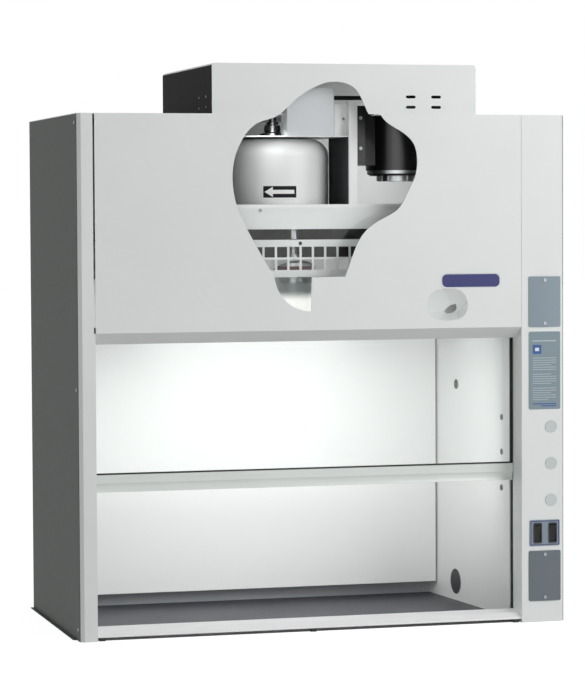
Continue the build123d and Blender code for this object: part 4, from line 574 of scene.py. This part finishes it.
class HOOD_OT_cabinet(bpy.types.Operator):
    """Finish the posts, panels, canopy and chamber"""

    bl_idname = "hood.cabinet"
    bl_label = "Finish Cabinet"

    def execute(self, context):
        values = context.scene.hood_cabinet
        panel = coat("Panel Powder Coat", values.panel_colour, 0.38, 0.012, values.peel)
        wear(panel, "left_post", "right_post", "front_panel", "top_panel", "rear_panel")
        # Side panels: painted shade, a dark coat in place of the shade on the pale panels
        side = coat("Side Panel Painted Shade", values.side_colour, 0.55, 0.008, values.peel, shine=0.12)
        wear(side, "left_side_panel", "right_side_panel")
        # Canopy ends: painted shade on the faces that look along X, while the rest keeps the panel coat
        shade = coat("Canopy Side Painted Shade", values.canopy_painted_shade_colour, 0.6, 0.01, values.peel, shine=0.03)
        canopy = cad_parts["canopy"]
        colour_faces(canopy, (panel, shade), lambda face: int(abs(face.normal.x) > 0.9))
        white = coat("Chamber Lining", values.lining_colour, 0.36, 0.003, 0.01)
        wear(white, "left_lining", "right_lining", "rear_baffle", "baffle_standoffs", "ceiling_panel")
        # Rear lining: painted shade on a white lining, grey below the baffle top for the shade under the
        # baffle and near black above it for the shaded gap over the baffle
        under_baffle_shade_grey, above_baffle_shade_black = linear(182, 186, 190), linear(30, 31, 32)
        rear = height_coat("Rear Lining Painted Shade", under_baffle_shade_grey, above_baffle_shade_black, BAFFLE_TOP)
        wear(rear, "rear_lining")
        wear(coat("Work Top Enamel", values.floor_colour, 0.5, 0.08, 0.1), "work_top")
        wear(coat("Air Foil Enamel", linear(246, 247, 247), 0.3, 0.01, 0.03), "air_foil")
        plug = two_tone("Plug Plastic", linear(196, 202, 202), linear(70, 72, 76), (1.0, 0.0, 0.0), 0.45)
        wear(plug, "blanking_plugs")
        low_colour, high_colour = values.low_cover_colour, values.cover_colour
        cover = height_coat("Cover Enamel", low_colour, high_colour, COVER_SPLIT, 0.4, 0.04)
        wear(cover, "cover_plates")
        wear(coat("Switch Plate Enamel", linear(126, 140, 152), 0.4, 0.02, 0.03), "switch_plate")
        wear(coat("Switch Moulding", linear(16, 16, 18), 0.35, 0.05, 0.03), "switch_bodies")
        rocker = coat("Rocker Moulding", linear(15, 15, 17), 0.3, 0.03, 0.01, shine=0.35)
        wear(rocker, "left_rocker", "right_rocker")
        return {"FINISHED"}


class HOOD_OT_sash(bpy.types.Operator):
    """Finish the sash, its tracks and its counterweights"""

    bl_idname = "hood.sash"
    bl_label = "Finish Sash"

    def execute(self, context):
        wear(clear_glass("Sash Glass", linear(250, 252, 251)), "sash_glass")
        wear(coat("Handle Enamel", linear(222, 227, 223), 0.3, 0.02, 0.02, 0.2), "sash_handle")
        seal = coat("Seal Rubber", linear(20, 20, 20), 0.6, 0.08, 0.05)
        wear(seal, "sash_seal", "sash_belts")
        nylon = coat("Shoe Nylon", linear(38, 38, 40), 0.45, 0.03, 0.02)
        wear(nylon, "sash_shoes", "top_pulleys", "low_pulleys")
        track = metal("Track Steel", linear(205, 207, 208), 0.3, (400.0, 400.0, 4.0))
        wear(track, "left_track", "right_track", "pulley_pins")
        wear(coat("Weight Paint", linear(60, 60, 62), 0.6, 0.08, 0.12), "left_weight", "right_weight")
        return {"FINISHED"}


class HOOD_OT_drive(bpy.types.Operator):
    """Finish the blower, the motor, the duct and the lamp"""

    bl_idname = "hood.drive"
    bl_label = "Finish Drive"

    def execute(self, context):
        values = context.scene.hood_drive
        wear(coat("Drum Enamel", values.housing_colour, 0.35, 0.01, 0.04), "blower_housing")
        sheet = coat("White Sheet", linear(240, 241, 241), 0.35, 0.01, 0.03)
        wear(sheet, "cross_beam", "bypass_grille", "drive_shelf", "uprights")
        wear(coat("Deck Enamel", linear(40, 41, 43), 0.6, 0.03, 0.05, shine=0.2), "blower_deck")
        wear(coat("Relay Box Enamel", linear(206, 210, 212), 0.4, 0.015, 0.04), "relay_box")
        # Partition: painted shade, dark grey for the face that stands in the shadow beside the drum
        wear(coat("Partition Painted Shade", linear(52, 53, 56), 0.5, 0.05, 0.05), "partition")
        black = coat("Motor Enamel", values.motor_colour, 0.3, 0.1, 0.06, 0.25)
        wear(black, "motor_body", "motor_bracket")
        steel = metal("Plated Steel", values.steel_colour, 0.34, (60.0, 60.0, 60.0))
        wear(steel, "motor_ends", "exhaust_duct", "exhaust_collar", "lamp_conduit", "blower_wheel")
        turned = metal("Turned Metal", linear(200, 202, 203), 0.26, (30.0, 30.0, 900.0))
        wear(turned, "blower_shaft", "shaft_bearing", "blower_pulley", "motor_pulley", "motor_shaft")
        wear(metal("Screw Plate", linear(150, 154, 157), 0.4, (30.0, 30.0, 30.0)), "screws")
        wear(coat("Drive Belt Rubber", linear(20, 20, 20), 0.7, 0.1, 0.1), "drive_belt")
        wear(coat("Gasket Rubber", values.gasket_colour, 0.55, 0.05, 0.05), "lamp_gasket")
        wear(metal("Lamp Ring Steel", linear(150, 153, 155), 0.3, (30.0, 30.0, 900.0)), "lamp_ring")
        frost, warm = linear(250, 250, 248), linear(255, 253, 248)
        jar = glowing("Frosted Jar", frost, warm, values.glow, JAR_DULL, JAR_BRIGHT)
        wear(jar, "lamp_jar")
        return {"FINISHED"}


class HOOD_OT_info_label(bpy.types.Operator):
    """Model the plain label on the right post"""

    bl_idname = "hood.info_label"
    bl_label = "Info Label"

    def execute(self, context):
        values = context.scene.hood_trim
        x, z = LABEL_SPOT
        half_width, half_height = values.label_width / 2, values.label_height / 2
        low = (x - half_width, FACE_Y - FILM_THICKNESS, z - half_height)
        high = (x + half_width, FACE_Y, z + half_height)
        label = block("info_label", low, high)
        round_upright_edges(label, 1, LABEL_CORNER)
        label.data.materials.append(coat("Label Film", linear(126, 143, 151), 0.35, 0.01, 0.0))
        pale = coat("Label Print", linear(176, 188, 193), 0.4, 0.01, 0.0)
        blue = coat("Label Blue", linear(48, 84, 150), 0.4, 0.01, 0.0)
        white = coat("Label White", linear(222, 228, 230), 0.4, 0.01, 0.0)
        edge = PRINT_EDGE
        rows = []
        for row in range(LINE_COUNT):
            if row in LINE_GAPS:
                continue
            top = LINE_TOP - row * LINE_PITCH
            reach = 2 * edge - 0.013 * (row % 4 == 3) - 0.02 * (row == LINE_COUNT - 1)
            span = (-edge, -edge + reach, top - LINE_HEIGHT, top)
            rows.append(self.printed(f"label_line_{row}", span, pale))
        lines = join("label_lines", rows)
        square = self.printed("label_square", (-edge, -0.008, 0.040, 0.062), blue)
        mark = self.printed("label_mark", (-0.024, -0.014, 0.047, 0.055), white, 1)
        band = self.printed("label_band", (-edge, edge, 0.070, 0.073), pale)
        feet = []
        for rise, reach in ((-0.082, 0.060), (-0.087, 0.038)):
            span = (edge - reach, edge, rise, rise + FOOT_LINE_HEIGHT)
            feet.append(self.printed("label_foot", span, blue))
        feet = join("label_foot_lines", feet)
        for piece in (label, lines, square, mark, band, feet):
            place_on_body(piece, "cabinet")
        return {"FINISHED"}

    def printed(self, name, span, finish, layer=0):
        """Printed shape on the label: left, right, bottom and top from the label's middle."""
        x, z = LABEL_SPOT
        left, right, bottom, top = span
        back = FACE_Y - FILM_THICKNESS - layer * PRINT_THICKNESS
        shape = block(name, (x + left, back - PRINT_THICKNESS, z + bottom), (x + right, back, z + top))
        shape.data.materials.append(finish)
        return shape


class HOOD_OT_switch_border(bpy.types.Operator):
    """Model the dark border printed round the switch plate"""

    bl_idname = "hood.switch_border"
    bl_label = "Switch Border"

    def execute(self, context):
        low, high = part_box("switch_plate")
        width = context.scene.hood_trim.border_width
        front = low.y - BORDER_PROUD
        back = low.y + BORDER_SINK
        left, right = low.x + BORDER_INSET, high.x - BORDER_INSET
        bottom, top = low.z + BORDER_INSET, high.z - BORDER_INSET
        spans = (
            (left, right, bottom, bottom + width),
            (left, right, top - width, top),
            (left, left + width, bottom + width, top - width),
            (right - width, right, bottom + width, top - width),
        )
        sides = [block("border_side", (a, front, c), (b, back, d)) for a, b, c, d in spans]
        border = join("switch_border", sides)
        border.data.materials.append(coat("Border Print", linear(44, 56, 112), 0.4, 0.01, 0.0))
        place_on_body(border, "cabinet")
        return {"FINISHED"}


class HOOD_OT_blank_plate(bpy.types.Operator):
    """Model the blank plate on the front panel"""

    bl_idname = "hood.blank_plate"
    bl_label = "Blank Plate"

    def execute(self, context):
        values = context.scene.hood_trim
        x, z = PLATE_SPOT
        half_width, half_height = values.plate_width / 2, values.plate_height / 2
        plate = block(
            "blank_plate",
            (x - half_width, FACE_Y - PLATE_THICKNESS, z - half_height),
            (x + half_width, FACE_Y, z + half_height),
        )
        round_upright_edges(plate, 1, half_height * 0.8, 10)
        inset_face(plate, 1, -1, PLATE_RIM, -PLATE_SINK)
        rim = coat("Plate Rim", linear(212, 216, 218), 0.3, 0.01, 0.0)
        field = coat("Plate Enamel", linear(34, 40, 104), 0.35, 0.01, 0.0)

        def choose(polygon):
            return 1 if polygon.normal.y < -0.99 and len(polygon.vertices) > 8 else 0

        colour_faces(plate, (rim, field), choose)
        place_on_body(plate, "cabinet")
        return {"FINISHED"}


class HOOD_OT_arrow_label(bpy.types.Operator):
    """Model the turning arrow on the blower's drum"""

    bl_idname = "hood.arrow_label"
    bl_label = "Arrow Label"

    def execute(self, context):
        values = context.scene.hood_trim
        width, height = values.arrow_width, values.arrow_height
        white = coat("Arrow White", linear(232, 233, 232), 0.4, 0.01, 0.0)
        black = coat("Arrow Black", linear(14, 14, 16), 0.5, 0.02, 0.0, shine=0.15)
        ground = self.flat("arrow_ground", (-width / 2, width / 2), height, 0.0004)
        field = self.flat("arrow_field", (-width * 0.465, width * 0.465), height * 0.82, 0.0007)
        shaft = self.flat("arrow_shaft", (-width * 0.21, width * 0.40), height * 0.28, 0.0010)
        head = self.head("arrow_head", -width * 0.43, -width * 0.20, height * 0.72, 0.0010)
        for piece, finish in ((ground, white), (field, black), (shaft, white), (head, white)):
            self.wrap(piece)
            piece.data.materials.append(finish)
            place_on_body(piece, "cabinet")
        return {"FINISHED"}

    def flat(self, name, span, height, proud):
        """Thin strip about the origin, cut across so that it can bend."""
        strip = block(name, (span[0], -proud, -height / 2), (span[1], DRUM_SINK, height / 2))
        self.cut_across(strip)
        return strip

    def head(self, name, tip, foot, height, proud):
        """Arrow head that points to the left."""
        reach = foot - tip
        clear_selection()
        bpy.ops.mesh.primitive_cylinder_add(vertices=3, radius=1.0, depth=1.0)
        piece = bpy.context.object
        bpy.ops.object.mode_set(mode="EDIT")
        bpy.ops.mesh.select_all(action="SELECT")
        centre = (0.0, 0.0, 0.0)
        bpy.ops.transform.rotate(value=math.radians(90), orient_axis="X", center_override=centre)
        bpy.ops.object.mode_set(mode="OBJECT")
        top = max(corner.co.z for corner in piece.data.vertices)
        points_up = sum(corner.co.z > top - 0.01 for corner in piece.data.vertices) == 2
        turn = math.radians(90 if points_up else -90)
        bpy.ops.object.mode_set(mode="EDIT")
        bpy.ops.transform.rotate(value=turn, orient_axis="Y", center_override=centre)
        bpy.ops.object.mode_set(mode="OBJECT")
        spots = [corner.co.x for corner in piece.data.vertices]
        if abs(min(spots)) < abs(max(spots)):
            bpy.ops.object.mode_set(mode="EDIT")
            bpy.ops.transform.rotate(value=math.pi, orient_axis="Y", center_override=centre)
            bpy.ops.object.mode_set(mode="OBJECT")
        low, high = self.reach_of(piece)
        wide = reach / (high.x - low.x)
        deep = (DRUM_SINK + proud) / (high.y - low.y)
        tall = height / (high.z - low.z)
        piece.scale = (wide, deep, tall)
        piece.location = (tip - low.x * wide, DRUM_SINK - high.y * deep, -(low.z + high.z) / 2 * tall)
        settle(name)
        self.cut_across(piece)
        return piece

    def reach_of(self, piece):
        """Lowest and highest corner of a piece's mesh."""
        spots = [corner.co for corner in piece.data.vertices]
        low, high = [Vector([pick(spot[axis] for spot in spots) for axis in range(3)]) for pick in (min, max)]
        return low, high

    def cut_across(self, piece):
        """Cuts a strip into short lengths."""
        mesh = enter_edit(piece, "EDGE")
        for edge in mesh.edges:
            way = edge.verts[1].co - edge.verts[0].co
            edge.select = abs(way.x) > abs(way.y)
        bmesh.update_edit_mesh(piece.data)
        bpy.ops.mesh.subdivide(number_cuts=10)
        bpy.ops.object.mode_set(mode="OBJECT")

    def wrap(self, piece):
        """Bends a flat piece round the drum and moves it to its place."""
        low, high = self.reach_of(piece)
        select_only(piece)
        bend = piece.modifiers.new("Drum", "SIMPLE_DEFORM")
        bend.deform_method = "BEND"
        bend.deform_axis = "Z"
        bend.angle = (high.x - low.x) / DRUM_RADIUS
        bpy.ops.object.modifier_apply(modifier="Drum")
        middle = Matrix.Translation((0.0, -DRUM_RADIUS, 0.0))
        place = Matrix.Translation((DRUM_AXIS[0], DRUM_AXIS[1], ARROW_RISE))
        piece.matrix_world = place @ Matrix.Rotation(ARROW_MIDDLE, 4, "Z") @ middle
        settle(piece.name)


class HOOD_OT_feet(bpy.types.Operator):
    """Model the small feet under the air foil"""

    bl_idname = "hood.feet"
    bl_label = "Foil Feet"

    def execute(self, context):
        width = context.scene.hood_trim.foot_width
        rubber = coat("Foot Rubber", linear(26, 26, 27), 0.65, 0.05, 0.05)
        middle = (OPEN_LEFT + OPEN_RIGHT) / 2
        starts = (OPEN_LEFT + FOOT_INSET, middle - width / 2, OPEN_RIGHT - FOOT_INSET - width)
        for number, start in enumerate(starts):
            foot = block(
                f"foil_foot_{number + 1}",
                (start, FACE_Y + FOOT_FRONT, 0.0),
                (start + width, FACE_Y + FOOT_BACK, FOOT_HEIGHT),
            )
            soften(foot, FOOT_EDGE)
            foot.data.materials.append(rubber)
            place_on_body(foot, "cabinet")
        return {"FINISHED"}


def seen_directly(tree):
    """Mask of the rays by which the camera, a reflection or glass sees a thing."""
    rays = tree.nodes.new("ShaderNodeLightPath")
    seen = math_node(tree, "MAXIMUM", rays.outputs["Is Camera Ray"], rays.outputs["Is Transmission Ray"])
    return math_node(tree, "MAXIMUM", seen, rays.outputs["Is Glossy Ray"])


class HOOD_OT_stage(bpy.types.Operator):
    """Set up the floor, the lights and the camera"""

    bl_idname = "hood.stage"
    bl_label = "Stage"

    def execute(self, context):
        values = context.scene.hood_stage
        clear_selection()
        bpy.ops.mesh.primitive_plane_add(size=60.0, location=(0.0, 0.0, -0.0005))
        floor = bpy.context.object
        floor.name = "floor"
        bpy.ops.object.transform_apply(location=True, rotation=True, scale=True)
        floor.data.materials.append(self.floor_material())
        chamber, bay = values.chamber_power, values.bay_power
        left_place, left_target = (-0.12, FACE_Y + 0.08, 1.185), (-0.12, FACE_Y + 0.13, 0.9)
        right_place, right_target = (0.30, FACE_Y + 0.36, 1.08), (0.30, FACE_Y + 0.9, 1.10)
        self.light("key", (2.6, -3.4, 2.3), (0.1, -0.2, 0.7), 2.4, values.key_power)
        self.light("fill", (-2.4, -5.0, 1.2), (0.0, 0.0, 0.6), 3.0, values.fill_power)
        self.light("lamp_glow", (-0.05, -0.05, 0.69), (-0.05, 0.0, 0.0), 0.5, chamber / 3)
        self.light("chamber", (-0.03, -0.20, 0.46), (-0.03, 0.3, 0.42), 0.85, chamber, 0.42)
        self.light("bay_left", left_place, left_target, 0.08, bay / 6)
        self.light("bay_right", right_place, right_target, 0.2, bay)
        self.world(values.sky)
        self.camera()
        context.scene.view_settings.view_transform = "Standard"
        return {"FINISHED"}

    def floor_material(self):
        """Pale floor, plain white where the camera or a reflection sees it."""
        material = bpy.data.materials.new("Pale Floor")
        material.use_nodes = True
        tree = material.node_tree
        shader = tree.nodes["Principled BSDF"]
        shader.inputs["Base Color"].default_value = (0.8, 0.8, 0.8, 1.0)
        shader.inputs["Roughness"].default_value = 0.9
        seen = tree.nodes.new("ShaderNodeEmission")
        seen.inputs["Strength"].default_value = 1.8
        mix = tree.nodes.new("ShaderNodeMixShader")
        tree.links.new(math_node(tree, "MULTIPLY", seen_directly(tree), 0.5), mix.inputs[0])
        tree.links.new(shader.outputs[0], mix.inputs[1])
        tree.links.new(seen.outputs[0], mix.inputs[2])
        tree.links.new(mix.outputs[0], tree.nodes["Material Output"].inputs["Surface"])
        return material

    def light(self, name, place, target, size, power, height=0.0):
        """Area light that looks at a target, square where no height is given."""
        data = bpy.data.lights.new(name, "AREA")
        data.shape = "RECTANGLE" if height else "SQUARE"
        data.size = size
        data.size_y = height or size
        data.energy = power
        lamp = bpy.data.objects.new(name, data)
        way = Vector(target) - Vector(place)
        lamp.location = place
        lamp.rotation_euler = way.to_track_quat("-Z", "Y").to_euler()
        bpy.context.scene.collection.objects.link(lamp)

    def world(self, strength):
        """Even sky light, white where the camera or a reflection sees it."""
        world = bpy.data.worlds.new("Studio")
        bpy.context.scene.world = world
        world.use_nodes = True
        tree = world.node_tree
        tree.nodes.clear()
        output = tree.nodes.new("ShaderNodeOutputWorld")
        sky = tree.nodes.new("ShaderNodeBackground")
        sky.inputs["Color"].default_value = (1.0, 1.0, 1.0, 1.0)
        sky.inputs["Strength"].default_value = strength
        seen = tree.nodes.new("ShaderNodeBackground")
        seen.inputs["Color"].default_value = (1.0, 1.0, 1.0, 1.0)
        seen.inputs["Strength"].default_value = 1.0
        mix = tree.nodes.new("ShaderNodeMixShader")
        tree.links.new(seen_directly(tree), mix.inputs[0])
        tree.links.new(sky.outputs[0], mix.inputs[1])
        tree.links.new(seen.outputs[0], mix.inputs[2])
        tree.links.new(mix.outputs[0], output.inputs["Surface"])

    def camera(self):
        """Camera at the photograph's viewing angle."""
        data = bpy.data.cameras.new("camera")
        data.sensor_fit = "AUTO"
        data.sensor_width = 36.0
        data.lens = 148.84
        data.clip_end = 100.0
        camera = bpy.data.objects.new("camera", data)
        yaw, pitch, roll = (math.radians(a) for a in (15.374, 2.539, 0.287))
        turn = (
            Matrix.Rotation(-yaw, 4, "Z")
            @ Matrix.Rotation(math.pi / 2 - pitch, 4, "X")
            @ Matrix.Rotation(-roll, 4, "Z")
        )
        camera.matrix_world = Matrix.Translation((-1.8372, -6.3750 + FACE_Y, 0.9870)) @ turn
        bpy.context.scene.collection.objects.link(camera)
        bpy.context.scene.camera = camera


class HOOD_PT_panel(bpy.types.Panel):
    """Sidebar panel of the fume hood"""

    bl_label = "Fume Hood"
    bl_idname = "HOOD_PT_panel"
    bl_space_type = "VIEW_3D"
    bl_region_type = "UI"
    bl_category = "Fume Hood"

    def draw(self, context):
        for settings in ("hood_cabinet", "hood_drive", "hood_trim", "hood_stage"):
            group = getattr(context.scene, settings)
            box = self.layout.box()
            for label in group.__annotations__:
                box.prop(group, label)
        for operator in OPERATORS:
            self.layout.operator(operator.bl_idname)


SETTINGS = (
    ("hood_cabinet", CabinetSettings),
    ("hood_drive", DriveSettings),
    ("hood_trim", TrimSettings),
    ("hood_stage", StageSettings),
)
OPERATORS = (
    HOOD_OT_cabinet,
    HOOD_OT_sash,
    HOOD_OT_drive,
    HOOD_OT_info_label,
    HOOD_OT_switch_border,
    HOOD_OT_blank_plate,
    HOOD_OT_arrow_label,
    HOOD_OT_feet,
    HOOD_OT_stage,
)


def register():
    for name, group in SETTINGS:
        bpy.utils.register_class(group)
        setattr(bpy.types.Scene, name, bpy.props.PointerProperty(type=group))
    for entry in (*OPERATORS, HOOD_PT_panel):
        bpy.utils.register_class(entry)


def unregister():
    for entry in reversed((*OPERATORS, HOOD_PT_panel)):
        bpy.utils.unregister_class(entry)
    for name, group in reversed(SETTINGS):
        delattr(bpy.types.Scene, name)
        bpy.utils.unregister_class(group)


def main():
    register()
    bpy.ops.hood.cabinet()
    bpy.ops.hood.sash()
    bpy.ops.hood.drive()
    bpy.ops.hood.info_label()
    bpy.ops.hood.switch_border()
    bpy.ops.hood.blank_plate()
    bpy.ops.hood.arrow_label()
    bpy.ops.hood.feet()
    bpy.ops.hood.stage()


if __name__ == "__main__":
    main()
